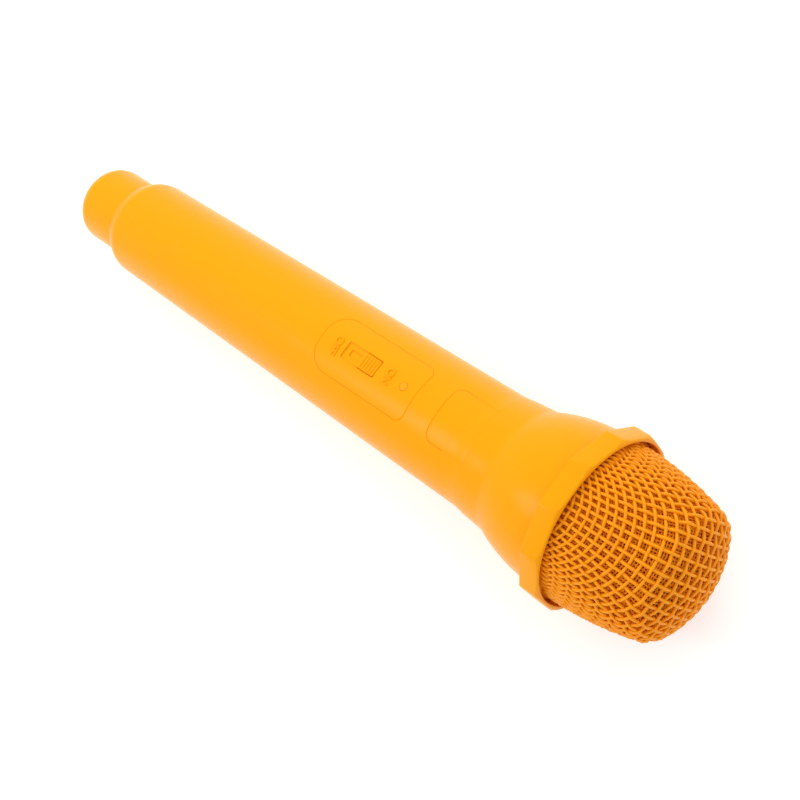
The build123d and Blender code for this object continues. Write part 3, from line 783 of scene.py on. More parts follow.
@dataclass
class Barrel:
    """One-piece tapered tube with its rebates, door opening and spigot."""

    form: BarrelForm
    panel: Plan
    tile: TileSeat
    door: Plan
    wall: float = 2.0
    ledge: float = 1.2
    rebate: float = 1.2
    tile_depth: float = 1.3
    edge: float = 0.3
    cap_bore: float = 12.4
    cap_seat: float = 10.0
    spigot: float = 15.9
    spigot_bore: float = 14.2
    spigot_length: float = 8.0
    spigot_lead: float = 2.5
    columns: int = 96
    unroll: float = 16.4

    def build(self) -> None:
        """Make the barrel's skin, its bore and every rim, in one closed shell."""
        form, shell = self.form, Shell()
        tail = form.start
        flare = form.seam - form.flare
        rows = [tail, *np.linspace(tail + 0.4, tail + form.shoulder, 12)]
        rows += [*np.linspace(rows[-1], flare, 56)[1:], *np.linspace(flare, form.seam - form.edge, 8)[1:]]
        rows += [form.seam - form.edge * (1 - sin(pi / 2 * k / 4)) for k in range(1, 5)]
        angles = [-90 + 360 * k / self.columns for k in range(self.columns + 1)]
        unrolled = [radians(a) * self.unroll for a in angles]

        def across(x: float, y: float, side: int, depth: float = 0.0) -> Point:
            """Unroll a plan point on the upper or lower side."""
            angle = asin(y / (form.radius(x) - depth))
            return x, (angle if side > 0 else pi - angle) * self.unroll

        def skin(u: float, v: float) -> Place:
            """Roll an unrolled point on to the skin."""
            r, a = form.radius(u), v / self.unroll
            return u, r * sin(a), r * cos(a)

        notch = self.tile.path(self.edge, open_head=True)
        opening = [across(x, y, 1) for x, y in notch]
        mouth = [(form.seam, v) for v in unrolled]
        least = 0.3
        outline = [(x, unrolled[0]) for x in rows[:-1]]
        outline += [p for p in mouth if p[1] < opening[-1][1] - least]
        outline += list(reversed(opening))
        outline += [p for p in mouth if p[1] > opening[0][1] + least]
        outline += [(x, unrolled[-1]) for x in reversed(rows[:-1])]
        outline += [(tail, v) for v in reversed(unrolled[1:-1])]
        holes = [
            [across(x, y, 1) for x, y in self.panel.path(self.edge)],
            [across(x, y, -1) for x, y in self.door.path(self.edge)],
        ]
        grid = [(x, v) for x in rows[1:-1] for v in unrolled[1:-1]]
        shell.patch(outline, skin, holes, grid, 0.45)

        rim = rim_steps(self.edge, sink=SINK)
        step, through = form.height(self.rebate), form.height(self.wall)
        rebate = [(self.panel.path(m), form.height(d)) for m, d in rim]
        rebate += [(self.panel.path(0), step), (self.panel.path(-self.ledge), step)]
        shell.bands([*rebate, (self.panel.path(-self.ledge), through)])
        doorway = [(self.door.path(m), form.height(d, -1)) for m, d in rim]
        shell.bands([*doorway, (self.door.path(0), form.height(self.wall, -1))])
        floor = form.height(self.tile_depth)
        pocket = [(self.tile.path(m, True), self.tile.sunk(form, d)) for m, d in rim]
        shell.bands([*pocket, (self.tile.path(0, True), floor)], closed=False)
        shell.cover(self.tile.ring(), floor, grid=self.tile.grid(1.2))
        self.bore(shell, rows, unrolled, across)
        shell.piece("barrel_skin", ["barrel"], normal=form.normal)

    def bore(self, shell: Shell, rows: list[float], unrolled: list[float], across: Callable) -> None:
        """Add the inner surface, the tail's bore, the spigot and the mouth's face.

        Args:
            shell: Shell that gets the surfaces.
            rows: Stations of the skin's rows.
            unrolled: Positions round the barrel.
            across: Gives the unrolled point of a plan point.
        """
        form = self.form
        step, lead = form.start + self.cap_seat, form.seam - self.spigot_lead

        def inner_radius(x: float) -> float:
            """Radius of the inner surface at a station."""
            if x <= lead:
                return form.taper(x) - self.wall
            share = min((x - lead) / self.spigot_lead, 1)
            return (form.taper(lead) - self.wall) * (1 - share) + self.spigot_bore * share

        def inner(u: float, v: float) -> Place:
            """Roll an unrolled point on to the inner surface."""
            r, a = inner_radius(u), v / self.unroll
            return u, r * sin(a), r * cos(a)

        end = form.seam + self.spigot_length
        stations = [step, *[x for x in rows if step + 1 < x < lead - 1][::2], lead, form.seam, end]
        outline = [(x, unrolled[0]) for x in stations[:-1]] + [(end, v) for v in unrolled]
        outline += [(x, unrolled[-1]) for x in reversed(stations[:-1])]
        outline += [(step, v) for v in reversed(unrolled[1:-1])]
        holes = [
            [across(x, y, 1, self.wall) for x, y in self.panel.path(-self.ledge)],
            [across(x, y, -1, self.wall) for x, y in self.door.path()],
        ]
        grid = [(x, v) for x in stations[1:-1] for v in unrolled[1:-1]]
        shell.patch(outline, inner, holes, grid, 0.6)
        ring = [(sin(v / self.unroll), cos(v / self.unroll)) for v in unrolled[:-1]]
        tail_rows = [
            (step, inner_radius(step)), (step, self.cap_bore), (form.start + self.edge, self.cap_bore),
            (form.start, self.cap_bore + self.edge), (form.start, form.radius(form.start)),
        ]
        head_rows = [(end, self.spigot_bore), (end, self.spigot), (form.seam, self.spigot)]
        for profile in (tail_rows, head_rows):
            shell.strip([[(x, r * s, r * c) for s, c in ring] for x, r in profile])
        mouth = form.radius(form.seam)
        clear = self.tile.width / 2 + self.edge + 0.3
        rest = [(mouth * s, mouth * c) for s, c in ring if c < 0 or abs(mouth * s) > clear]
        rest.sort(key=lambda p: atan2(p[0], p[1]) % tau, reverse=True)
        right = self.notch_side()
        floor_lift = form.height(self.tile_depth)
        floor = [
            (y, floor_lift(form.seam, y))
            for y in np.linspace(right[-1][0], -right[-1][0], HEAD_STEPS + 1)[1:-1]
        ]
        left = [(-y, z) for y, z in reversed(right)]
        face = [*right, *floor, *left, *rest]
        shell.patch(face, lambda y, z: (form.seam, y, z), [
            [(self.spigot * s, self.spigot * c) for s, c in ring]
        ])

    def notch_side(self) -> Loop:
        """Corner points down one side of the tile's pocket, at the seam."""
        seam, half = self.form.seam, self.tile.width / 2
        share = self.tile.share(seam)
        rim = [(half + m * share, d * share) for m, d in rim_steps(self.edge, sink=SINK)]
        return [(y, self.form.height(d)(seam, y)) for y, d in [*rim, (half, self.tile_depth)]]


@dataclass
class TailCap:
    """Narrow round cap that stands out of the barrel's tail."""

    show: float
    end: float
    radius: float = 12.3
    end_round: float = 6.3
    flat: float = 6.0
    wall: float = 1.6
    flange: float = 13.2
    flange_length: float = 1.4
    seat_step: float = 0.1

    def build(self) -> None:
        """Make the cap as one closed turned shell."""
        seat = self.radius - self.seat_step
        inner = self.radius - self.wall
        arc = [radians(90 * k / 14) for k in range(15)]
        profile = [(0.0, 0.0)]
        profile += [
            (self.end_round * (1 - cos(a)), self.flat + (self.radius - self.flat) * sin(a)) for a in arc
        ]
        profile += rounded([
            (self.end_round, self.radius, 0), (self.show, self.radius, 0), (self.show, seat, 0),
            (self.end - self.flange_length, seat, 0), (self.end - self.flange_length, self.flange, 0.2),
            (self.end, self.flange, 0.2), (self.end, inner, 0.2), (self.wall, inner, 3.5),
            (self.wall, 0, 0),
        ])
        shell = Shell()
        shell.turned(profile, 160)
        shell.piece("tail_cap_skin", ["tail_cap"], sharp=50)


@dataclass
class Bell:
    """Flared neck with its anti-roll collar and lip."""

    seam: float
    lip: float
    across_flats: float
    mouth: float = 17.85
    edge: float = 0.16
    crease: float = 8.4
    crease_radius: float = 18.65
    flare_angle: float = 24.0
    shoulder_radius: float = 22.7
    collar_length: float = 6.0
    flats: int = 12
    corner: float = 1.7
    back_round: float = 0.3
    bevel_round: float = 0.4
    front_round: float = 1.4
    lip_bore: float = 24.0
    lip_land: float = 0.5
    shelf_depth: float = 4.5
    shelf_width: float = 3.0
    socket: float = 16.0
    socket_depth: float = 9.6
    throat: float = 14.8
    flat_steps: int = 9
    corner_steps: int = 5

    def outline(self) -> Loop:
        """Angles and radii of the collar's plan, denser at its corners."""
        apothem = self.across_flats / 2
        half = pi / self.flats
        reach = (apothem - self.corner) * tan(half)
        points = []
        for side in range(self.flats):
            middle = tau * side / self.flats
            for k in range(self.flat_steps):
                offset = reach * (2 * k / (self.flat_steps - 1) - 1)
                points.append((middle + atan2(offset, apothem), hypot(offset, apothem)))
            corner = middle + half
            centre = (apothem - self.corner) / cos(half)
            for k in range(1, self.corner_steps):
                turn = half * (2 * k / self.corner_steps - 1)
                x = centre + self.corner * cos(turn)
                y = self.corner * sin(turn)
                points.append((corner + atan2(y, x), hypot(x, y)))
        return points

    def neck(self) -> Loop:
        """Profile from the seam over the crease to the collar's back."""
        start = Vector((self.seam + self.crease, self.crease_radius))
        end = Vector((self.lip - self.collar_length, self.shoulder_radius))
        flare = radians(self.flare_angle)
        inward = Vector((sin(flare), -cos(flare)))
        chord = end - start
        arc = chord.length_squared / (2 * chord.dot(inward))
        centre = start + inward * arc
        first, last = start - centre, end - centre
        sweep = first.angle_signed(last)
        profile = [(self.seam, self.mouth - self.edge)]
        profile += [
            (self.seam + self.edge * (1 - cos(a)), self.mouth - self.edge + self.edge * sin(a))
            for a in QUARTER[1:]
        ]
        middle = Vector((
            self.seam + self.crease * 0.5, self.mouth + (self.crease_radius - self.mouth) * 0.42,
        ))
        profile += [(middle.x, middle.y), (start.x - 0.8, start.y - 0.11), (start.x - 0.3, start.y - 0.02)]
        return profile + [swing(centre, first, -sweep * (0.04 + 0.96 * k / 16)) for k in range(17)]

    def build(self) -> None:
        """Make the bell as one closed shell whose columns follow the collar's flats."""
        plan = self.outline()
        back = self.lip - self.collar_length
        peak = max(r for _, r in plan)
        fall = peak - (self.lip_bore + self.lip_land)
        arc = (self.front_round**2 + fall**2) / (2 * fall)
        base = peak - arc
        start = self.lip - self.front_round
        rows = [[point] * len(plan) for point in self.neck()]
        rows.append([(back, self.shoulder_radius + 0.25)] * len(plan))
        columns: list[Loop] = []
        for _, radius in plan:
            meets = start + sqrt(max(arc**2 - (radius - base) ** 2, 0)) if radius < peak - 1e-6 else start
            column = []
            for turn in QUARTER:
                x = back + self.back_round * (1 - cos(turn))
                column.append((x, radius - self.back_round * (1 - sin(turn))))
            soft = self.bevel_round
            column += [((back + meets) / 2, radius), (meets - soft, radius)]
            column.append((meets - soft * 0.25, radius - soft * 0.22))
            ahead = min(meets + soft * 0.35, self.lip)
            for k in range(9):
                x = ahead + (self.lip - ahead) * k / 8
                column.append((x, base + sqrt(max(arc**2 - (x - start) ** 2, 0))))
            columns.append(column)
        rows += zip(*columns)
        shelf = self.lip - self.shelf_depth
        inner = rounded([
            (self.lip, self.lip_bore + self.lip_land, 0), (self.lip, self.lip_bore, 0.2),
            (shelf, self.lip_bore, 0), (shelf, self.lip_bore - self.shelf_width, 0),
            (self.seam + self.socket_depth, self.throat, 0),
            (self.seam + self.socket_depth, self.socket, 0), (self.seam, self.socket, 0),
            (self.seam, self.mouth - self.edge, 0),
        ], 4)
        rows += [[point] * len(plan) for point in inner]
        shell = Shell()
        shell.strip([[(x, r * sin(a), r * cos(a)) for (x, r), (a, _) in zip(row, plan)] for row in rows])
        shell.piece("bell_skin", ["bell"], sharp=38)


@dataclass
class WindowTile:
    """Curved tile in the neck's rebate, its front part slightly lowered."""

    form: BarrelForm
    plan: TileSeat
    gap: float = 0.02
    edge: float = 0.3
    depth: float = 1.25
    step: float = 7.4
    step_depth: float = 0.06
    step_run: float = 0.9

    def build(self) -> None:
        """Make the tile as a closed plate."""
        line = self.form.seam - self.step

        def top(depth: float, rim: bool = True) -> Height:
            """Height function of the stepped face, at a depth under it."""

            def lift(x: float, y: float) -> float:
                """Height at a plan point."""
                sunk = self.step_depth * ease((x - line) / self.step_run)
                sunk += depth * (self.plan.share(x) if rim else 1)
                return sqrt((self.form.radius(x) - sunk) ** 2 - y * y)

            return lift

        shell = Shell()
        rim = [(m, d) for m, d in rim_steps(self.edge, -self.gap, inward=False, sink=SINK)]
        grid = self.plan.grid(0.9)
        half = self.plan.width / 2
        rows = [line, line + self.step_run * 0.5, line + self.step_run]
        grid += [(x, float(y)) for x in rows for y in np.arange(-half, half, 0.9)]
        over, under = top(0), top(self.depth, False)
        face, back = self.plan.ring(rim[0][0]), self.plan.ring(-self.gap)
        shell.cover(face, over, grid=grid, clearance=0.15)
        bands = [(self.plan.path(m, True), top(d)) for m, d in rim]
        bands.append((self.plan.path(-self.gap, True), under))
        shell.bands(bands, closed=False)
        shell.cover(back, under, grid=self.plan.grid(2.0))
        inner = 1 - HEAD_STEPS
        outline = [(path[0][1], lift(*path[0])) for path, lift in bands]
        outline += [(y, under(x, y)) for x, y in reversed(back[inner:])]
        outline += [(path[-1][1], lift(*path[-1])) for path, lift in reversed(bands)]
        outline += [(y, over(x, y)) for x, y in face[inner:]]
        shell.patch(outline, lambda y, z: (self.form.seam, y, z))
        shell.piece("window_tile_skin", ["window_tile"])


@dataclass
class BatteryDoor:
    """Curved door under the barrel, with the sunk seat for its screw and two hook tabs."""

    form: BarrelForm
    plan: Plan
    screw: float
    gap: float = 0.25
    edge: float = 0.3
    wall: float = 2.0
    seat: float = 2.5
    seat_depth: float = 1.7
    seat_edge: float = 0.15
    hole: float = 1.25
    boss: float = 3.4
    boss_depth: float = 3.3
    tab_spread: float = 5.5
    tab_width: float = 4.5
    tab_top: float = 2.3
    tab_thickness: float = 1.3
    tab_root: float = 4.0
    tab_reach: float = 2.55

    def build(self) -> None:
        """Make the door as one closed shell, then its tabs."""
        form, plan, shell = self.form, self.plan, Shell()
        inner = form.height(self.wall, -1)
        rim = rim_steps(self.edge, -self.gap, inward=False, sink=SINK)
        mouth = [(self.seat + m, d) for m, d in rim_steps(self.seat_edge)]

        def ring(radius: float) -> Loop:
            """Circle about the screw."""
            return disc(self.screw, 0, radius)

        def flat(depth: float) -> Height:
            """Height function of a flat face in the seat."""
            return level(depth - form.radius(self.screw))

        face = plan.path(rim[0][0])
        shell.cover(face, form.height(0, -1), [ring(mouth[0][0])], plan.grid(1.3), 0.4)
        sides = [(plan.path(m), form.height(d, -1)) for m, d in rim]
        shell.bands([*sides, (plan.path(-self.gap), inner)])
        back = plan.path(-self.gap)
        shell.cover(back, inner, [ring(self.boss)], plan.grid(1.7))
        shell.bands([
            *((ring(r), form.height(d, -1)) for r, d in mouth), (ring(self.seat), flat(self.seat_depth)),
            (ring(self.hole), flat(self.seat_depth)), (ring(self.hole), flat(self.boss_depth)),
            (ring(self.boss), flat(self.boss_depth)), (ring(self.boss), inner),
        ])
        shell.piece("battery_door_skin", ["battery_door"], body=Body.DOOR)
        self.build_tabs()

    def build_tabs(self) -> None:
        """Make the two tabs that hook under the barrel's wall."""
        end = self.plan.end - self.gap
        low = self.tab_top + self.tab_thickness
        profile = [
            (end - self.tab_root, self.wall - 0.1), (end - 0.1, self.wall - 0.1), (end, self.tab_top),
            (end + self.tab_reach - 0.3, self.tab_top), (end + self.tab_reach, self.tab_top + 0.3),
            (end + self.tab_reach, low - 0.5), (end + self.tab_reach - 0.5, low),
            (end - self.tab_root, low),
        ]
        shell = Shell()
        for side in (-1, 1):
            middle = side * self.tab_spread
            rows = [
                [(x, y, self.form.height(depth, -1)(x, y)) for x, depth in profile]
                for y in np.linspace(middle - self.tab_width / 2, middle + self.tab_width / 2, 6)
            ]
            shell.strip(rows)
            shell.cap(rows[0])
            shell.cap(rows[-1])
        shell.piece("battery_door_tabs", finish=ORANGE_ABS_SHADED, body=Body.DOOR)


# ---------------- switch plate


@dataclass
class SwitchPlate:
    """D-shaped plate with the switch's recess, its raised words and the lamp hole."""

    form: BarrelForm
    plan: Plan
    recess: Plan
    slot: Plan
    track: Plan
    lamp: float
    floor: float
    ceiling: float = 0.18
    gap: float = 0.02
    edge: float = 0.3
    flange: float = 1.15
    core: float = 2.55
    ledge: float = 1.2
    lamp_hole: float = 1.25
    lamp_edge: float = 0.12
    recess_edge: float = 0.14
    recess_fillet: float = 0.2
    hook_stations: tuple[float, float] = (7.0, 30.0)
    word_rise: float = 0.2
    words: tuple[tuple[str, float, float, float], ...] = (("OFF", 6.0, -0.4, 2.6), ("ON", 26.3, 0.1, 2.4))

    def build(self) -> None:
        """Make the plate, its hooks and its words."""
        form, shell = self.form, Shell()
        rim = rim_steps(self.edge, -self.gap, inward=False, sink=SINK)
        recess_rim = rim_steps(self.recess_edge)
        lamp_rim = [(self.lamp_hole + m, d) for m, d in rim_steps(self.lamp_edge)]
        holes = [self.recess.path(recess_rim[0][0]), disc(self.lamp, 0, lamp_rim[0][0])]
        face = self.plan.path(rim[0][0])
        shell.cover(face, form.height(), holes, self.plan.grid(0.9), 0.35)
        core = self.plan.path(-self.ledge - self.gap)
        shell.bands([
            *((self.plan.path(m), form.height(d)) for m, d in rim),
            (self.plan.path(-self.gap), form.height(self.flange)), (core, form.height(self.flange)),
            (core, form.height(self.core)),
        ])
        under = form.height(self.core)
        holes = [self.track.path(), disc(self.lamp, 0, self.lamp_hole)]
        shell.cover(core, under, holes, self.plan.grid(1.8))
        fillet = self.recess_fillet
        walls = [(self.recess.path(m), form.height(d)) for m, d in recess_rim]
        for turn in QUARTER:
            rise = fillet * (1 - sin(turn))
            walls.append((self.recess.path(-fillet * (1 - cos(turn))), level(self.floor + rise)))
        shell.bands(walls)
        slot, track, roof = self.slot.path(), self.track.path(), level(self.floor - self.ceiling)
        shell.cover(self.recess.path(-fillet), level(self.floor), [slot])
        shell.bands([(slot, level(self.floor)), (slot, roof)])
        shell.cover(track, roof, [slot])
        shell.bands([(track, roof), (track, under)])
        shell.bands([
            *((disc(self.lamp, 0, r), form.height(d)) for r, d in lamp_rim),
            (disc(self.lamp, 0, self.lamp_hole), under),
        ])
        shell.piece("switch_plate_skin", ["control_panel"], normal=form.normal)
        self.build_hooks()
        for word, station, y, size in self.words:
            self.build_word(word, self.plan.start + station, y, size)

    def build_hooks(self) -> None:
        """Make the four hooks that hold the plate in the barrel."""
        width, thickness, barb, gap, root = 3.0, 1.0, 0.8, 0.3, 1.6
        shell = Shell()
        outer = self.plan.width / 2 - self.ledge - self.gap
        for station in self.hook_stations:
            x = self.plan.start + station
            catch = sqrt((self.form.taper(x) - 2.0) ** 2 - (outer + barb) ** 2) - gap
            profile = [
                (outer - thickness, catch + root), (outer, catch + root), (outer, catch),
                (outer + barb, catch), (outer, catch - barb), (outer - thickness, catch - barb),
            ]
            for side in (-1, 1):
                ends = [[(x + w, side * y, z) for y, z in profile] for w in (-width / 2, width / 2)]
                shell.strip(ends)
                for end in ends:
                    shell.cap(end)
        shell.piece("switch_plate_hooks", finish=ORANGE_ABS_SHADED)

    def build_word(self, word: str, station: float, y: float, size: float) -> None:
        """Raise one word on the plate, its letters' tops towards the grille.

        Args:
            word: The word, which is generic.
            station: Middle of the letters along X.
            y: Middle of the word along Y.
            size: Letter height in millimetres.
        """
        curve = bpy.data.curves.new(f"word_{word.lower()}", "FONT")
        curve.body = word
        curve.size = size / 0.7
        curve.extrude = self.word_rise
        curve.bevel_depth = 0.05
        curve.space_character = 0.85
        curve.align_x, curve.align_y = "CENTER", "CENTER"
        curve.resolution_u = 6
        mesh = evaluated(linked(curve.name, curve))
        bpy.data.curves.remove(curve)
        skin = self.form.height()
        for vertex in mesh.vertices:
            px, py, pz = vertex.co
            x, across = station + py, y - px
            vertex.co = Vector((x, across, skin(x, across) + pz)) * MM
        soften(mesh, 40)
        settle(bpy.data.objects.new(f"word_{word.lower()}", mesh), ORANGE_ABS, Body.HANDLE, "gloss_orange")


@dataclass
class SwitchKnob:
    """Ribbed slide knob with its stem and the skirt that closes the slot under the plate."""

    form: BarrelForm
    low: Vector
    high: Vector
    skirt_ends: tuple[float, float]
    skirt_top: float
    skirt_width: float
    floor: float
    skirt_thickness: float = 0.8
    rib_count: int = 5
    rib_width: float = 0.55
    rib_height: float = 0.3
    floor_gap: float = 0.1
    stem: tuple[float, float] = (2.6, 1.9)

    def build(self) -> None:
        """Make the knob's body from slabs and its ribs with a node tree."""
        x0, x1, half = self.low.x, self.high.x, self.high.y
        centre = (x0 + x1) / 2
        skin = self.form.taper(centre)
        top, base = skin - 0.15, self.floor + self.floor_gap
        plan = Plan(x0, x1, 2 * half, 0.5, 0.5, steps=(6, 6, 5))
        shell = Shell()
        shell.slab(plan.path(), base, top, 0.2)
        stem_plan = Plan(
            centre - self.stem[0] / 2, centre + self.stem[0] / 2, self.stem[1], 0.2, 0.2, steps=(24, 8, 3)
        )
        shell.slab(stem_plan.path(), self.low.z, base + 0.2)
        skirt = Plan(*self.skirt_ends, self.skirt_width, 0.4, 0.4, steps=(24, 8, 3))
        shell.slab(skirt.path(), self.skirt_top - self.skirt_thickness, self.skirt_top)
        shell.piece("switch_knob_body", ["switch_knob"], body=Body.SLIDER)
        pitch = (x1 - x0) / (self.rib_count + 1)
        ribs = Repeat("switch_knob_ribs", self.rib(2 * half - 0.7), [
            Vector((centre + (k - (self.rib_count - 1) / 2) * pitch, 0, top)) for k in range(self.rib_count)
        ])
        settle(ribs.make(ORANGE_ABS), None, Body.SLIDER, "gloss_orange")

    def rib(self, length: float) -> Mesh:
        """One rounded rib across the knob."""
        arc = [radians(180 * k / 8) for k in range(9)]
        shell = Shell()
        rows = []
        for end, scale in ((-1, 0.35), (-1, 0.8), (-1, 1.0), (1, 1.0), (1, 0.8), (1, 0.35)):
            inset = {0.35: 0.0, 0.8: 0.08, 1.0: 0.22}[scale]
            y = end * (length / 2 - inset)
            rows.append([
                (self.rib_width / 2 * cos(a) * scale, y, self.rib_height * sin(a) * scale - 0.05)
                for a in arc
            ])
        shell.strip(rows)
        for row in (rows[0], rows[-1]):
            shell.cap(row)
        return shell.bare("rib", 50.0)


# ---------------- node-built pieces


def node_tree(name: str, inputs: dict[str, str]) -> tuple[NodeTree, Node]:
    """Start a geometry tree with named inputs.

    Args:
        name: The tree's name.
        inputs: Input name to the kind of its socket, such as Float.

    Returns:
        The tree and its input node.
    """
    tree = bpy.data.node_groups.new(name, "GeometryNodeTree")
    tree.interface.new_socket("Geometry", in_out="OUTPUT", socket_type="NodeSocketGeometry")
    for label, kind in ({"Geometry": "Geometry"} | inputs).items():
        tree.interface.new_socket(label, in_out="INPUT", socket_type=f"NodeSocket{kind}")
    return tree, add(tree, "NodeGroupInput")


def grown(name: str, seed: Mesh, tree: NodeTree, values: dict[str, object]) -> Object:
    """Run a geometry tree on a mesh and keep the plain result.

    Args:
        name: Name of the piece.
        seed: Mesh that the tree starts from.
        tree: The tree.
        values: Name of each of the tree's inputs to its value.

    Returns:
        An object with the finished mesh.
    """
    maker = linked(f"{name}_seed", seed)
    modifier = maker.modifiers.new("grow", "NODES")
    modifier.node_group = tree
    for socket in tree.interface.items_tree:
        if socket.name in values:
            modifier[socket.identifier] = values[socket.name]
    mesh = evaluated(maker)
    mesh.name = name
    return bpy.data.objects.new(name, mesh)


@dataclass
class Repeat:
    """One small mesh set at several places by a node tree."""

    name: str
    unit: Mesh
    places: list[Vector]

    def make(self, finish: Finish) -> Object:
        """Set the units on points and return them as one plain mesh.

        Args:
            finish: Material of the units.

        Returns:
            The object, not yet on a body.
        """
        tree, start = node_tree(f"set_out_{self.name}", {"Unit": "Object", "Material": "Material"})
        unit = bpy.data.objects.new(f"{self.name}_unit", self.unit)
        info = add(tree, "GeometryNodeObjectInfo", {"Object": start.outputs["Unit"]})
        points = add(tree, "GeometryNodeMeshToPoints", {"Mesh": start.outputs["Geometry"]})
        copies = add(tree, "GeometryNodeInstanceOnPoints", {
            "Points": points, "Instance": info.outputs["Geometry"],
        })
        real = add(tree, "GeometryNodeRealizeInstances", {"Geometry": copies})
        finished = add(tree, "GeometryNodeSetMaterial", {
            "Geometry": real, "Material": start.outputs["Material"],
        })
        add(tree, "NodeGroupOutput", {"Geometry": finished})
        seed = bpy.data.meshes.new(f"{self.name}_places")
        seed.from_pydata([tuple(p * MM) for p in self.places], [], [])
        result = grown(self.name, seed, tree, {"Unit": unit, "Material": finish.make()})
        bpy.data.objects.remove(unit)
        return result


class Drive(Enum):
    """Shapes of a screw's drive."""

    SLOT = 1
    CROSS = 2


@dataclass
class Screw:
    """Round-headed screw whose shank points up from its head, or down."""

    name: str
    head: float
    head_height: float
    shank: float
    height: float
    drive: Drive
    point: float = 0.0
    pitch: float = 0.8
    tooth: float = 0.22
    up: int = 1

    def blank(self) -> Mesh:
        """Turn the screw and cut its drive, head down and its face at zero."""
        shell = Shell()
        end = self.height
        profile = rounded([
            (0, 0, 0), (0, self.head, 0.35), (self.head_height, self.head, 0.1),
            (self.head_height, self.shank, 0.1), (end - self.point, self.shank, 0.2),
            (end, self.shank * 0.3 if self.point else self.shank - 0.2, 0), (end, 0, 0),
        ], 4)
        shell.turned(profile, 32, (0.0, 0.0))
        blank = self.tool("blank", shell)
        cutter = Shell()
        width, depth, reach = self.head * 0.3, self.head_height * 0.45, self.head * 1.1
        if self.drive is Drive.CROSS:
            reach = self.head * 0.62
        for turned in range(self.drive.value):
            corners = [(-reach, -width / 2), (reach, -width / 2), (reach, width / 2), (-reach, width / 2)]
            if turned:
                corners = [(-y, x) for x, y in corners]
            cutter.strip([[(x, y, z) for x, y in corners] for z in (-1.0, depth)])
            cutter.cap([(x, y, -1.0) for x, y in corners])
            cutter.cap([(x, y, depth) for x, y in corners])
        knife = self.tool("drive", cutter)
        cut = blank.modifiers.new("drive", "BOOLEAN")
        cut.operation, cut.solver, cut.object, cut.use_self = "DIFFERENCE", "EXACT", knife, True
        mesh = evaluated(blank)
        bpy.data.objects.remove(knife)
        return mesh

    def tool(self, role: str, shell: Shell) -> Object:
        """Put a shell into the scene as a helper for a cut."""
        return linked(f"{self.name}_{role}", shell.bare(f"{self.name}_{role}"))

    def mesh(self) -> Mesh:
        """Cut the drive and run the thread round the shank with a node tree.

        Returns:
            The screw's mesh, its head's face at the origin.
        """
        sizes = ("Core Radius", "Length", "Start", "Tooth", "Turns")
        tree, start = node_tree(f"thread_{self.name}", dict.fromkeys(sizes, "Float"))
        helix = add(tree, "GeometryNodeCurveSpiral", {
            "Resolution": 20, "Rotations": start.outputs["Turns"],
            "Start Radius": start.outputs["Core Radius"], "End Radius": start.outputs["Core Radius"],
            "Height": start.outputs["Length"],
        })
        tooth = add(tree, "GeometryNodeCurvePrimitiveCircle", {
            "Resolution": 3, "Radius": start.outputs["Tooth"],
        })
        ridge = add(tree, "GeometryNodeCurveToMesh", {
            "Curve": helix, "Profile Curve": tooth, "Fill Caps": True,
        })
        shift = add(tree, "ShaderNodeCombineXYZ", {"Z": start.outputs["Start"]})
        raised = add(tree, "GeometryNodeTransform", {"Geometry": ridge, "Translation": shift})
        both = add(tree, "GeometryNodeJoinGeometry", {"Geometry": raised})
        tree.links.new(start.outputs["Geometry"], both.inputs["Geometry"])
        real = add(tree, "GeometryNodeRealizeInstances", {"Geometry": both})
        add(tree, "NodeGroupOutput", {"Geometry": real})
        run = self.height - self.head_height - self.point - 1.5 * self.pitch
        values = {
            "Core Radius": self.shank * MM, "Length": run * MM,
            "Start": (self.head_height + self.pitch) * MM, "Tooth": self.tooth * MM,
            "Turns": run / self.pitch,
        }
        item = grown(f"{self.name}_whole", self.blank(), tree, values)
        mesh = item.data
        bpy.data.objects.remove(item)
        if self.up < 0:
            mesh.transform(Matrix.Scale(-1, 4, Vector((0, 0, 1))))
            mesh.flip_normals()
        soften(mesh, 35)
        return mesh

    def build(self, places: list[Vector], body: Body) -> None:
        """Set the screw at each place."""
        item = Repeat(self.name, self.mesh(), places).make(ZINC_STEEL)
        settle(item, None, body, "zinc_screw", [self.name])


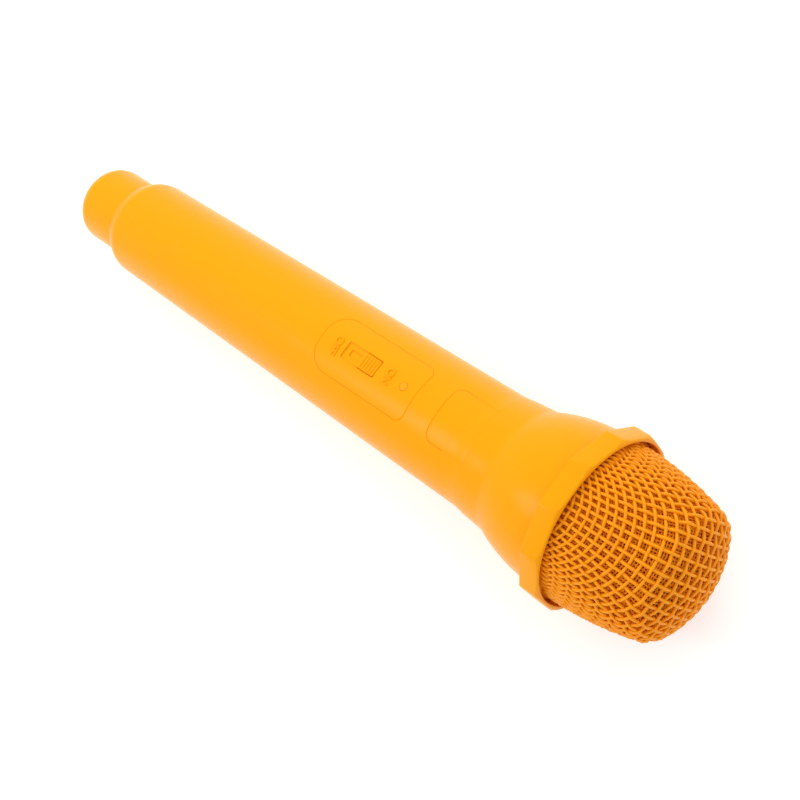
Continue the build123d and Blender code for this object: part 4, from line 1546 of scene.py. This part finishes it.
@dataclass
class Cell:
    """AAA cell: steel can with its nub, dark sleeve and a copper-coloured band at the nub's end."""

    name: str
    nub_first: bool
    nub: float = 1.9
    nub_height: float = 0.9
    band: float = 10.0

    def build(self) -> None:
        """Turn the can, the sleeve and the band."""
        low, high = span(self.name)
        length, radius = high.x - low.x, (high.z - low.z) / 2
        shoulder = length - self.nub_height
        can, edge = radius - 0.15, 0.5
        shapes = {
            "can": (TINNED_STEEL, [
                (0.2, 0, 0), (0.2, 3.3, 0.15), (0, 3.6, 0.2), (0, can, 0.5), (shoulder, can, 0.5),
                (shoulder, self.nub + 1.2, 0.1), (shoulder - 0.2, self.nub + 0.9, 0.1),
                (shoulder - 0.2, self.nub, 0.15), (length, self.nub, 0.3), (length, 0, 0),
            ]),
            "sleeve": (CELL_SLEEVE, self.tube(edge, shoulder - self.band, can, radius - 0.02)),
            "band": (CELL_BAND, self.tube(shoulder - self.band, shoulder - 0.3, can, radius)),
        }
        middle = (low + high) / 2
        for part, (finish, corners) in shapes.items():
            shell = Shell()
            shell.turned(rounded(corners, 4), 64)
            if self.nub_first:
                shell.points = [(length - x, y, z) for x, y, z in shell.points]
            shell.shift(Vector((low.x, middle.y, middle.z)))
            whole = [self.name] if part == "can" else []
            shell.piece(f"{self.name}_{part}", whole, finish, slot="cell_jacket")

    @staticmethod
    def tube(start: float, end: float, inner: float, outer: float) -> Corners:
        """Corners of a thin ring's closed profile."""
        lip = 0.25
        return [
            (start, inner - lip, 0), (start - 0.02, outer, 0.2), (end + 0.02, outer, 0.2),
            (end, inner - lip, 0.05), (start, inner - lip, 0),
        ]


@dataclass
class Pickup:
    """Everything behind the grille: base, rubber boot, capsule and its felt.

    The base's upstand carries the gauze, and its sleeve backs the first rows of cells.
    """

    back: float
    thickness: float = 1.5
    rim: float = 23.85
    upstand: float = 21.45
    upstand_wall: float = 2.6
    upstand_height: float = 2.8
    sleeve: float = 20.2
    sleeve_height: float = 7.0
    boss: float = 9.6
    boss_height: float = 5.0
    boot: float = 8.0
    boot_length: float = 9.0
    boot_floor: float = 2.0
    hole: float = 2.6
    capsule: float = 4.85
    capsule_length: float = 6.5
    capsule_face: float = 3.6

    def build(self) -> None:
        """Turn the four pieces."""
        face = self.back + self.thickness
        top, inner, bore = face + self.upstand_height, self.upstand - self.upstand_wall, self.boot + 0.1
        crown, base = face + self.boss_height, face + self.boot_floor
        end, front = face + self.boot_length, base + self.capsule_length
        profiles = {
            "grille_base_disc": ("grille_base", ORANGE_ABS_SHADED, "gloss_orange", [
                (self.back, self.hole, 0), (self.back, self.rim, 0.3), (face, self.rim, 0.3),
                (face, self.upstand, 0.25), (top, self.upstand, 0.35), (top, self.sleeve, 0.1),
                (top + self.sleeve_height, self.sleeve - 0.4, 0.35),
                (top + self.sleeve_height, inner, 0.35), (face, inner, 0.4), (face, self.boss, 0.5),
                (crown, self.boss, 0.3), (crown, bore, 0.3), (face, bore, 0), (face, self.hole, 0.1),
                (self.back, self.hole, 0),
            ]),
            "capsule_boot_cup": ("capsule_boot", ORANGE_RUBBER, "black_rubber", [
                (face, self.hole, 0), (face, self.boot, 0.4), (crown + 0.8, self.boot, 0.2),
                (crown + 1.2, self.boot - 0.5, 0.3), (crown + 2.0, self.boot - 0.5, 0.3),
                (crown + 2.4, self.boot, 0.3), (end, self.boot, 1.0), (end, self.capsule + 0.6, 0.4),
                (end - 0.6, self.capsule, 0.2), (base, self.capsule, 0), (base, self.hole, 0),
                (face, self.hole, 0),
            ]),
            "capsule_can": ("capsule", TINNED_STEEL, "switch_shell", [
                (base, 0, 0), (base, self.capsule, 0.3), (front, self.capsule, 0.5),
                (front, self.capsule_face, 0.15), (front - 0.4, self.capsule_face, 0), (front - 0.4, 0, 0),
            ]),
            "capsule_felt": (None, ORANGE_FELT, "black_rubber", [
                (front - 0.4, 0, 0), (front - 0.4, self.capsule_face - 0.05, 0),
                (front - 0.2, self.capsule_face - 0.05, 0.1), (front - 0.15, 0, 0),
            ]),
        }
        for name, (node, finish, slot, corners) in profiles.items():
            shell = Shell()
            shell.turned(rounded(corners), 128)
            shell.piece(name, [node] if node else [], finish, slot=slot)


@dataclass
class Electronics:
    """Turned and pressed pieces inside the barrel, each set in its solid's box."""

    flange: float = 1.9
    flange_height: float = 0.8
    bulb: float = 1.5
    bulb_height: float = 5.1
    lens: float = 1.2
    shield_corner: float = 0.6

    def build(self) -> None:
        """Make the lamp, its lens, the aerial rod and the transmitter's shield."""
        step, bulb = self.flange_height, self.bulb
        self.upright("indicator_lamp", AMBER_EPOXY, [
            (0, self.flange, 0), (step, self.flange, 0.15), (step, bulb, 0.05),
            (self.bulb_height, bulb, bulb - 0.05),
        ])
        low, high = span("lamp_lens")
        height = high.z - low.z
        corners = [(0, self.lens, 0.1), (height - 0.15, self.lens, 0.15), (height, self.lens / 2, 0.5)]
        self.upright("lamp_lens", ORANGE_LENS, corners)
        low, high = span("aerial_rod")
        radius = (high.z - low.z) / 2
        rod = Shell()
        ends = [(low.x, 0, 0), (low.x, radius, 0.6)]
        rod.turned(rounded([*ends, (high.x, radius, 0.2), (high.x, 0, 0)]), 32)
        rod.shift(Vector((0, 0, (high.z + low.z) / 2)))
        rod.piece("aerial_rod_turned", ["aerial_rod"], NICKEL_STEEL, slot="nickel_spring")
        low, high = span("radio_module")
        size = (low.x, high.x, high.y - low.y, self.shield_corner, self.shield_corner)
        plan = Plan(*size, steps=(4, 4, 5))
        shield = Shell()
        shield.slab(plan.path(), low.z, high.z, 0.35, edge_low=True)
        shield.piece("radio_module_shield", ["radio_module"], TINNED_STEEL, slot="switch_shell")

    @staticmethod
    def upright(node: str, finish: Finish, corners: Corners) -> None:
        """Turn a clear piece about an upright axis in the middle of its box."""
        low, high = span(node)
        shell = Shell()
        profile = rounded([(0, 0, 0), *corners, (high.z - low.z, 0, 0)], 8)
        middle = (low + high) / 2
        shell.turned([(z + low.z, r) for z, r in profile], 48, (middle.x, middle.y))
        shell.piece(f"{node}_turned", [node], finish, slot="clear_lens")


@dataclass
class Dome:
    """Turned middle surface of the wire cloth, tabulated along its profile from the nose.

    Attributes:
        root: Station where the cloth ends.
        lip: Station of the bell's lip.
        height: The dome's height over the lip.
        inset: Depth of the cloth's middle under its outside.
    """

    root: float
    lip: float
    height: float
    inset: float
    root_radius: float = 23.0
    middle_radius: float = 21.87
    wall_radius: float = 19.1
    wall_height: float = 24.5
    corner: float = 3.0
    spare: float = 30.0

    def __post_init__(self) -> None:
        """Tabulate station, radius and slope at even steps along the profile."""
        line = self.line()
        steps = np.hypot(*np.diff(line, axis=0).T)
        length = np.concatenate([[0], np.cumsum(steps)])
        self.run = np.linspace(0, length[-1], 3000)
        self.station = np.interp(self.run, length, line[:, 0])
        self.radius = np.interp(self.run, length, line[:, 1])
        self.station_slope = np.gradient(self.station, self.run)
        self.radius_slope = np.gradient(self.radius, self.run)

    def line(self) -> np.ndarray:
        """Profile from the nose over the corner and down the wall to spare cloth below the root."""
        apex = self.lip + self.height - self.inset
        knots = [
            (self.lip + self.wall_height, self.wall_radius - self.inset),
            (self.lip + self.wall_height / 2, self.middle_radius - self.inset),
            (self.root, self.root_radius - self.inset),
        ]
        wall = np.polyfit(*zip(*knots), 2)
        top, root = Vector(knots[0]), Vector(knots[2])
        slope = Vector((1, np.polyval(np.polyder(wall), top.x))).normalized()
        corner = self.corner - self.inset / 2
        centre = top + Vector((slope.y, -slope.x)) * corner
        ahead = centre.x - apex
        nose = (corner**2 - ahead**2 - centre.y**2) / (2 * (ahead + corner))
        nose_centre = Vector((apex - nose, 0))
        touch = centre + (centre - nose_centre).normalized() * corner
        edge = asin(touch.y / nose)
        points = [(nose_centre.x + nose * cos(a), nose * sin(a)) for a in np.linspace(0, edge, 120)]
        last = atan2(top.y - centre.y, top.x - centre.x)
        arc = np.linspace(edge, last, 24)[1:]
        points += [(centre.x + corner * cos(a), centre.y + corner * sin(a)) for a in arc]
        points += [(x, np.polyval(wall, x)) for x in np.linspace(top.x, root.x, 120)[1:]]
        points += [(root.x - step, root.y) for step in np.linspace(0, self.spare, 40)[1:]]
        return np.array(points)

    def look_up(self, distance: np.ndarray, table: np.ndarray) -> np.ndarray:
        """Read one of the tables at distances from the nose."""
        return np.interp(distance, self.run, table)


def finer(values: np.ndarray, share: float) -> np.ndarray:
    """Read a square table of vectors at closer, evenly spaced places.

    Args:
        values: Array indexed by column, row and component.
        share: New places to one old step.

    Returns:
        The denser array.
    """
    at = np.arange(0, len(values) - 1, 1 / share)
    first = at.astype(int)
    part = (at - first)[:, None, None]
    across = values[first] * (1 - part) + values[first + 1] * part
    part = part.transpose(1, 0, 2)
    return across[:, first] * (1 - part) + across[:, first + 1] * part


@dataclass
class WovenGrille:
    """Plain-woven wire pressed to a tapered dome, with the hem that holds its cut ends.

    Attributes:
        root: Station of the hem's back.
        lip: Station of the bell's lip.
        height: The dome's height over the lip.
        pitch: Distance between neighbouring wires, before pressing.
        wire: Painted wire's diameter.
        crimp: How far a wire swings over and under, as a share of its radius.
        turn: Angle of one set of wires from +Z, seen on the nose, in degrees.
        lock: Least angle between crossing wires, in degrees.
        stiffness: How much the wires resist bending sideways.
        gauze_share: Wires of the gauze behind the cloth to one wire of the cloth.
        gauze_wire: Diameter of the gauze's wires.
        gauze_depth: Distance of the gauze's middle under the cloth's.
        gauze_end: Height over the root where the gauze ends, on the base's upstand.
    """

    root: float
    lip: float
    height: float
    pitch: float = 2.5
    wire: float = 0.86
    crimp: float = 0.62
    turn: float = 13.0
    lock: float = 30.0
    stiffness: float = 0.5
    hem_radius: float = 23.0
    half_count: int = 27
    rounds: int = 1200
    haste: float = 1.5
    sides: int = 8
    samples: int = 5
    gauze_share: float = 2.8
    gauze_wire: float = 0.6
    gauze_depth: float = 1.1
    gauze_sample: float = 1.6
    gauze_sides: int = 4
    gauze_end: float = 2.85

    def net(self) -> tuple[np.ndarray, np.ndarray]:
        """Press a flat square net on to the dome.

        The net's points are kept as a distance and a bearing from the nose. Wires keep their spacing and
        shear at the crossings until they lock, as real cloth does. The net stays symmetric about its wires
        and its diagonals.

        Returns:
            Places and outward normals of the crossings, each indexed by column and row.
        """
        dome = Dome(self.root, self.lip, self.height, self.wire / 2 * (1 + self.crimp))
        index = np.arange(-self.half_count, self.half_count + 1) * self.pitch
        flat = np.stack(np.meshgrid(index, index, indexing="ij"), axis=-1).astype(float)
        least = 2 * self.pitch * sin(radians(self.lock) / 2)
        low, high, every = slice(None, -1), slice(1, None), slice(None)
        ties = [
            ((low, every), (high, every), self.pitch, False),
            ((every, low), (every, high), self.pitch, False), ((low, low), (high, high), least, True),
            ((low, high), (high, low), least, True),
        ]
        reach = dome.run[-1]

        def place() -> tuple[np.ndarray, np.ndarray, np.ndarray, np.ndarray]:
            """Places, held distances, bearings and radii of the crossings."""
            distance = np.maximum(np.linalg.norm(flat, axis=-1), 1e-9)
            bearing = flat / distance[..., None]
            held = np.minimum(distance, reach)
            radius = dome.look_up(held, dome.radius)
            station = dome.look_up(held, dome.station) - (distance - held)
            nodes = np.concatenate([station[..., None], bearing * radius[..., None]], axis=-1)
            return nodes, held, bearing, radius

        for _ in range(self.rounds):
            nodes, held, bearing, radius = place()
            move, weight = np.zeros_like(nodes), np.zeros(nodes.shape[:2] + (1,))
            for first, second, length, only_short in ties:
                gap = nodes[second] - nodes[first]
                size = np.linalg.norm(gap, axis=-1, keepdims=True)
                error = size - length
                shift = gap / np.maximum(size, 1e-9) * (np.minimum(error, 0) if only_short else error) / 2
                move[first] += shift
                move[second] -= shift
                weight[first] += 1
                weight[second] += 1
            move[1:-1] += ((nodes[:-2] + nodes[2:]) / 2 - nodes[1:-1]) * self.stiffness
            move[:, 1:-1] += ((nodes[:, :-2] + nodes[:, 2:]) / 2 - nodes[:, 1:-1]) * self.stiffness
            weight[1:-1] += self.stiffness
            weight[:, 1:-1] += self.stiffness
            move *= self.haste / weight
            side = np.stack([-bearing[..., 1], bearing[..., 0]], axis=-1)
            down = move[..., 0] * dome.look_up(held, dome.station_slope)
            down += np.sum(move[..., 1:] * bearing, axis=-1) * dome.look_up(held, dome.radius_slope)
            round_about = np.sum(move[..., 1:] * side, axis=-1)
            round_about *= np.where(held < 0.5, 1, held / np.maximum(radius, 1e-6))
            flat += down[..., None] * bearing + round_about[..., None] * side
            flat = (flat + flat[::-1] * (-1, 1)) / 2
            flat = (flat + flat[:, ::-1] * (1, -1)) / 2
            flat = (flat + flat.transpose(1, 0, 2)[..., ::-1]) / 2
        nodes, held, bearing, _ = place()
        out = np.concatenate([
            dome.look_up(held, dome.radius_slope)[..., None],
            -dome.look_up(held, dome.station_slope)[..., None] * bearing,
        ], axis=-1)
        c, s = cos(radians(self.turn)), sin(radians(self.turn))
        spin = np.array([[1, 0, 0], [0, c, -s], [0, s, c]])
        return nodes @ spin.T, out @ spin.T

    def build(self) -> None:
        """Make the wires with a node tree, then the hem."""
        nodes, out = self.net()
        tree = self.tree()
        values = {
            "Wire Diameter": self.wire * MM, "Crimp Height": self.crimp * self.wire / 2 * MM,
            "Sample Length": self.pitch / self.samples * MM, "Wire Sides": self.sides,
            "Material": ENAMELLED_WIRE.make(),
        }
        cloth = grown("grille_weave", self.seed("grille_net", nodes, out, self.root + 0.2), tree, values)
        settle(cloth, None, Body.HANDLE, "painted_mesh", ["grille_mesh"])
        fine, away = (finer(values, self.gauze_share) for values in (nodes, out))
        fine -= away / np.linalg.norm(away, axis=-1, keepdims=True) * self.gauze_depth
        values |= {
            "Wire Diameter": self.gauze_wire * MM, "Crimp Height": self.gauze_wire / 2 * MM,
            "Sample Length": self.gauze_sample * MM, "Wire Sides": self.gauze_sides,
        }
        seed = self.seed("gauze_net", fine, away, self.root + self.gauze_end)
        settle(grown("grille_gauze", seed, tree, values), None, Body.HANDLE, "painted_mesh")
        hem = Shell()
        radius = self.hem_radius
        hem.turned(
            rounded([
                (self.root, radius - 1.0, 0), (self.root, radius + 0.1, 0.3),
                (self.root + 1.4, radius + 0.05, 0.3), (self.root + 1.4, radius - 1.0, 0.3),
                (self.root, radius - 1.0, 0),
            ], 4)
        )
        hem.piece("grille_hem", finish=ENAMELLED_WIRE, slot="painted_mesh")

    @staticmethod
    def seed(name: str, nodes: np.ndarray, out: np.ndarray, root: float) -> Mesh:
        """Draw a net's wires as lines that end at the root.

        Args:
            name: The mesh's name.
            nodes: Places of the crossings.
            out: Outward normals of the crossings.
            root: Station where the wires end.

        Returns:
            Mesh of edges with the attributes "bend" and "outward".
        """
        points, edges, bend, normal = [], [], [], []
        count = len(nodes)
        for family, row in ((f, r) for f in (0, 1) for r in range(count)):
            line, away = (a[row] if family == 0 else a[:, row] for a in (nodes, out))
            above = line[:, 0] > root
            joined = False
            for k in range(count):
                sign = (-1) ** (k + row + family)
                place, lift = line[k], sign
                if not above[k]:
                    inner = next((j for j in (k + 1, k - 1) if 0 <= j < count and above[j]), None)
                    if inner is None:
                        joined = False
                        continue
                    share = (line[inner, 0] - root) / (line[inner, 0] - line[k, 0])
                    place, lift = line[inner] + (line[k] - line[inner]) * share, sign * (2 * share - 1)
                points.append(tuple(place * MM))
                bend.append(lift)
                normal.append(tuple(away[k]))
                if joined:
                    edges.append((len(points) - 2, len(points) - 1))
                joined = above[k] or not joined
        mesh = bpy.data.meshes.new(name)
        mesh.from_pydata(points, edges, [])
        mesh.attributes.new("bend", "FLOAT", "POINT").data.foreach_set("value", bend)
        flat = np.array(normal, dtype=np.float32).ravel()
        mesh.attributes.new("outward", "FLOAT_VECTOR", "POINT").data.foreach_set("vector", flat)
        return mesh

    def tree(self) -> NodeTree:
        """Node tree that turns the net's lines into crimped round wires."""
        lengths = ("Wire Diameter", "Crimp Height", "Sample Length")
        inputs = dict.fromkeys(lengths, "Float") | {"Wire Sides": "Int", "Material": "Material"}
        tree, start = node_tree("weave_wires", inputs)
        bend = add(tree, "GeometryNodeInputNamedAttribute", {"Name": "bend"}, data_type="FLOAT")
        outward = add(tree, "GeometryNodeInputNamedAttribute", {"Name": "outward"}, data_type="FLOAT_VECTOR")
        lift = add(tree, "ShaderNodeMath", {
            0: bend, 1: start.outputs["Crimp Height"],
        }, operation="MULTIPLY")
        offset = add(tree, "ShaderNodeVectorMath", {0: outward, "Scale": lift}, operation="SCALE")
        moved = add(tree, "GeometryNodeSetPosition", {
            "Geometry": start.outputs["Geometry"], "Offset": offset,
        })
        curve = add(tree, "GeometryNodeMeshToCurve", {"Mesh": moved})
        smooth = add(tree, "GeometryNodeCurveSplineType", {"Curve": curve}, spline_type="CATMULL_ROM")
        dense = add(tree, "GeometryNodeSetSplineResolution", {"Geometry": smooth, "Resolution": 8})
        sampled = add(tree, "GeometryNodeResampleCurve", {
            "Curve": dense, "Length": start.outputs["Sample Length"],
        }, mode="LENGTH")
        half = add(
            tree, "ShaderNodeMath", {0: start.outputs["Wire Diameter"], 1: 0.5}, operation="MULTIPLY"
        )
        section = add(tree, "GeometryNodeCurvePrimitiveCircle", {
            "Resolution": start.outputs["Wire Sides"], "Radius": half,
        })
        tube = add(tree, "GeometryNodeCurveToMesh", {
            "Curve": sampled, "Profile Curve": section, "Fill Caps": True,
        })
        shaded = add(tree, "GeometryNodeSetShadeSmooth", {"Geometry": tube})
        real = add(tree, "GeometryNodeRealizeInstances", {"Geometry": shaded})
        done = add(tree, "GeometryNodeSetMaterial", {
            "Geometry": real, "Material": start.outputs["Material"],
        })
        add(tree, "NodeGroupOutput", {"Geometry": done})
        return tree


# ---------------- stage


@dataclass
class Studio:
    """Camera, lamps, floor and world.

    Attributes:
        collar_edge: Lowest point of the collar, on which the floor lies.
        tail_edge: Lowest point of the barrel's tail, which rests on the floor too.
        surround: Strength of the world's light on the object.
        floor_glow: Light that brings the floor up to white where it is seen.
        lamps: Name, place, size and power of each square lamp.
    """

    collar_edge: Vector
    tail_edge: Vector
    camera_place: Place = (369.85, -36.68, 348.97)
    camera_ahead: Place = (-0.5468, 0.0832, -0.8331)
    camera_up: Place = (-0.4617, 0.8001, 0.3829)
    lens: float = 67.5
    surround: float = 0.83
    floor_glow: float = 0.38
    aim: Place = (130.0, 0.0, 0.0)
    lamps: tuple[tuple[str, Place, float, float], ...] = (
        ("key", (-80.0, 560.0, 420.0), 600.0, 1.8), ("softbox", (-70.0, -250.0, 370.0), 170.0, 0.5),
    )

    def build(self) -> None:
        """Make everything round the object."""
        self.build_camera()
        self.build_floor()
        self.build_lamps()
        scene = bpy.context.scene
        scene.view_settings.view_transform = "Standard"

    def build_camera(self) -> None:
        """Set the camera at its place, with no shift and no depth of field."""
        data = bpy.data.cameras.new("camera")
        data.lens, data.sensor_width = self.lens, 36.0
        data.clip_start, data.clip_end = 0.01, 20.0
        item = linked("camera", data)
        back = -Vector(self.camera_ahead).normalized()
        right = Vector(self.camera_up).cross(back).normalized()
        up = back.cross(right)
        turn = Matrix((right, up, back)).transposed().to_4x4()
        item.matrix_world = Matrix.Translation(Vector(self.camera_place) * MM) @ turn
        bpy.context.scene.camera = item

    @staticmethod
    def seen(tree: NodeTree) -> Node:
        """Node that is 1 for what is seen directly, through clear plastic or in a mirror, and 0 otherwise."""
        path = add(tree, "ShaderNodeLightPath")
        direct = add(tree, "ShaderNodeMath", {
            0: path.outputs["Is Camera Ray"], 1: path.outputs["Is Glossy Ray"],
        }, operation="ADD")
        rest = {0: direct, 1: path.outputs["Is Transmission Ray"]}
        return add(tree, "ShaderNodeMath", rest, operation="ADD", use_clamp=True)

    def build_floor(self) -> None:
        """Lay a pale floor under the collar and the barrel's tail shoulder."""
        slope = (self.collar_edge.z - self.tail_edge.z) / (self.collar_edge.x - self.tail_edge.x)
        size, centre = 3000.0, 120.0

        def ground(x: float) -> float:
            """Height of the floor at a station, in metres."""
            return (self.tail_edge.z + slope * (x - self.tail_edge.x) - 0.05) * MM

        corners = [(-size, -size), (size, -size), (size, size), (-size, size)]
        mesh = bpy.data.meshes.new("floor")
        mesh.from_pydata(
            [((centre + x) * MM, y * MM, ground(centre + x)) for x, y in corners], [], [(0, 1, 2, 3)]
        )
        material = bpy.data.materials.new("floor_paper")
        material.use_nodes = True
        tree = material.node_tree
        tree.nodes.clear()
        paper = add(tree, "ShaderNodeBsdfDiffuse", {"Color": (0.86, 0.86, 0.86, 1.0)})
        glow_strength = add(
            tree, "ShaderNodeMath", {0: self.seen(tree), 1: self.floor_glow}, operation="MULTIPLY"
        )
        glow = add(tree, "ShaderNodeEmission", {"Color": (1, 1, 1, 1), "Strength": glow_strength})
        both = add(tree, "ShaderNodeAddShader", {0: paper, 1: glow})
        add(tree, "ShaderNodeOutputMaterial", {"Surface": both})
        mesh.materials.append(material)
        linked("floor", mesh)

    def build_lamps(self) -> None:
        """Light the object softly from all round, with a broad lamp over it and a small one for its gloss."""
        world = bpy.data.worlds.new("studio")
        world.use_nodes = True
        tree = world.node_tree
        tree.nodes.clear()
        strength = add(
            tree, "ShaderNodeMapRange", {"Value": self.seen(tree), "To Min": self.surround, "To Max": 1.0}
        )
        light = add(tree, "ShaderNodeBackground", {"Color": (1, 1, 1, 1), "Strength": strength})
        add(tree, "ShaderNodeOutputWorld", {"Surface": light})
        bpy.context.scene.world = world
        aim = Vector(self.aim)
        for name, place, size, power in self.lamps:
            data = bpy.data.lights.new(name, "AREA")
            data.size, data.energy = size * MM, power
            lamp = linked(name, data)
            lamp.location = Vector(place) * MM
            lamp.rotation_euler = (aim - Vector(place)).to_track_quat("-Z", "Y").to_euler()
            lamp.visible_glossy = name != "key"


# ---------------- assembly


def main() -> None:
    """Build every piece in order."""
    logging.basicConfig(level=logging.INFO, format="%(name)s %(message)s")
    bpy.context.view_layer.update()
    barrel_low, _ = span("barrel")
    bell_low, bell_high = span("bell")
    _, cap_high = span("tail_cap")
    grille_low, grille_high = span("grille_mesh")
    knob_low, knob_high = span("switch_knob")
    knob_centre = (knob_low.x + knob_high.x) / 2
    screw_low, screw_high = span("door_screw")
    screw_centre = (screw_low + screw_high) / 2
    form = BarrelForm(barrel_low.x, bell_low.x)
    panel = Plan(start=118.0, end=155.0, width=17.3, tail_corner=6.0, head_corner=3.0, steps=(26, 10, 12))
    tile = TileSeat(
        start=form.seam - 14.4, end=form.seam, width=16.8, tail_corner=2.5, head_corner=0.5,
        steps=(28, 12, 8), fade_start=form.seam - 8.4,
    )
    door = Plan(start=36.0, end=100.0, width=22.4, tail_corner=3.0, head_corner=3.0, steps=(48, 14, 8))
    Barrel(form, panel, tile, door).build()
    TailCap(barrel_low.x, cap_high.x).build()
    bell = Bell(bell_low.x, bell_high.x, bell_high.z - bell_low.z)
    bell.build()
    WindowTile(form, tile).build()
    BatteryDoor(form, door, screw_centre.x).build()
    travel, slot_reach, slot_width, recess_depth = 6.0, 1.6, 2.1, 0.7
    play, skirt_width, skirt_gap = 0.3, 4.4, 0.06
    floor = form.taper(knob_centre) - recess_depth
    recess = Plan(start=127.2, end=140.2, width=5.4, tail_corner=0.35, head_corner=0.35, steps=(14, 6, 4))
    slot_ends = (knob_centre - travel - slot_reach, knob_centre + slot_reach)
    slot = Plan(*slot_ends, slot_width, 0.4, 0.4, steps=(8, 3, 3))
    skirt_ends = (slot_ends[0] - play, slot_ends[1] + travel + play)
    track_ends = (skirt_ends[0] - travel - play, skirt_ends[1] + play)
    track = Plan(*track_ends, skirt_width + play, 0.5, 0.5, steps=(8, 3, 3))
    plate = SwitchPlate(form, panel, recess, slot, track, lamp=150.3, floor=floor)
    plate.build()
    skirt_top = floor - plate.ceiling - skirt_gap
    SwitchKnob(form, knob_low, knob_high, skirt_ends, skirt_top, skirt_width, floor).build()
    WovenGrille(grille_low.x, bell_high.x, grille_high.x - bell_high.x).build()
    Pickup(span("grille_base")[0].x).build()
    Electronics().build()
    Cell("battery_left", nub_first=True).build()
    Cell("battery_right", nub_first=False).build()
    door_screw = Screw(
        "door_screw", head=2.25, head_height=1.4, shank=0.85, height=screw_high.z - screw_low.z,
        drive=Drive.SLOT, tooth=0.2,
    )
    door_screw.build([Vector((screw_centre.x, screw_centre.y, screw_low.z))], Body.SCREW)
    low, high = span("board_screws")
    board_screw = Screw(
        "board_screws", head=1.9, head_height=1.2, shank=0.7, height=high.z - low.z, drive=Drive.CROSS,
        point=1.2, tooth=0.18, up=-1,
    )
    inset = board_screw.head
    columns, rows = (low.x + inset, high.x - inset), (low.y + inset, high.y - inset)
    board_screw.build([Vector((x, y, high.z)) for x in columns for y in rows], Body.HANDLE)
    for node, finish in {
        "chassis": BLACK_STYRENE, "circuit_board": GREEN_LAMINATE, "slide_switch": TINNED_STEEL,
        "switch_lever": BLACK_STYRENE, "contact_link": NICKEL_STEEL, "positive_terminal": NICKEL_STEEL,
        "negative_terminal": NICKEL_STEEL, "battery_leads": RED_PVC, "aerial_lead": RED_PVC,
        "capsule_leads": RED_PVC,
    }.items():
        dress(node, finish)
    Studio(
        Vector((bell.lip - bell.collar_length, 0, bell_low.z)),
        Vector((form.start + form.shoulder, 0, -form.radius(form.start + form.shoulder))),
    ).build()


if __name__ == "__main__":
    main()
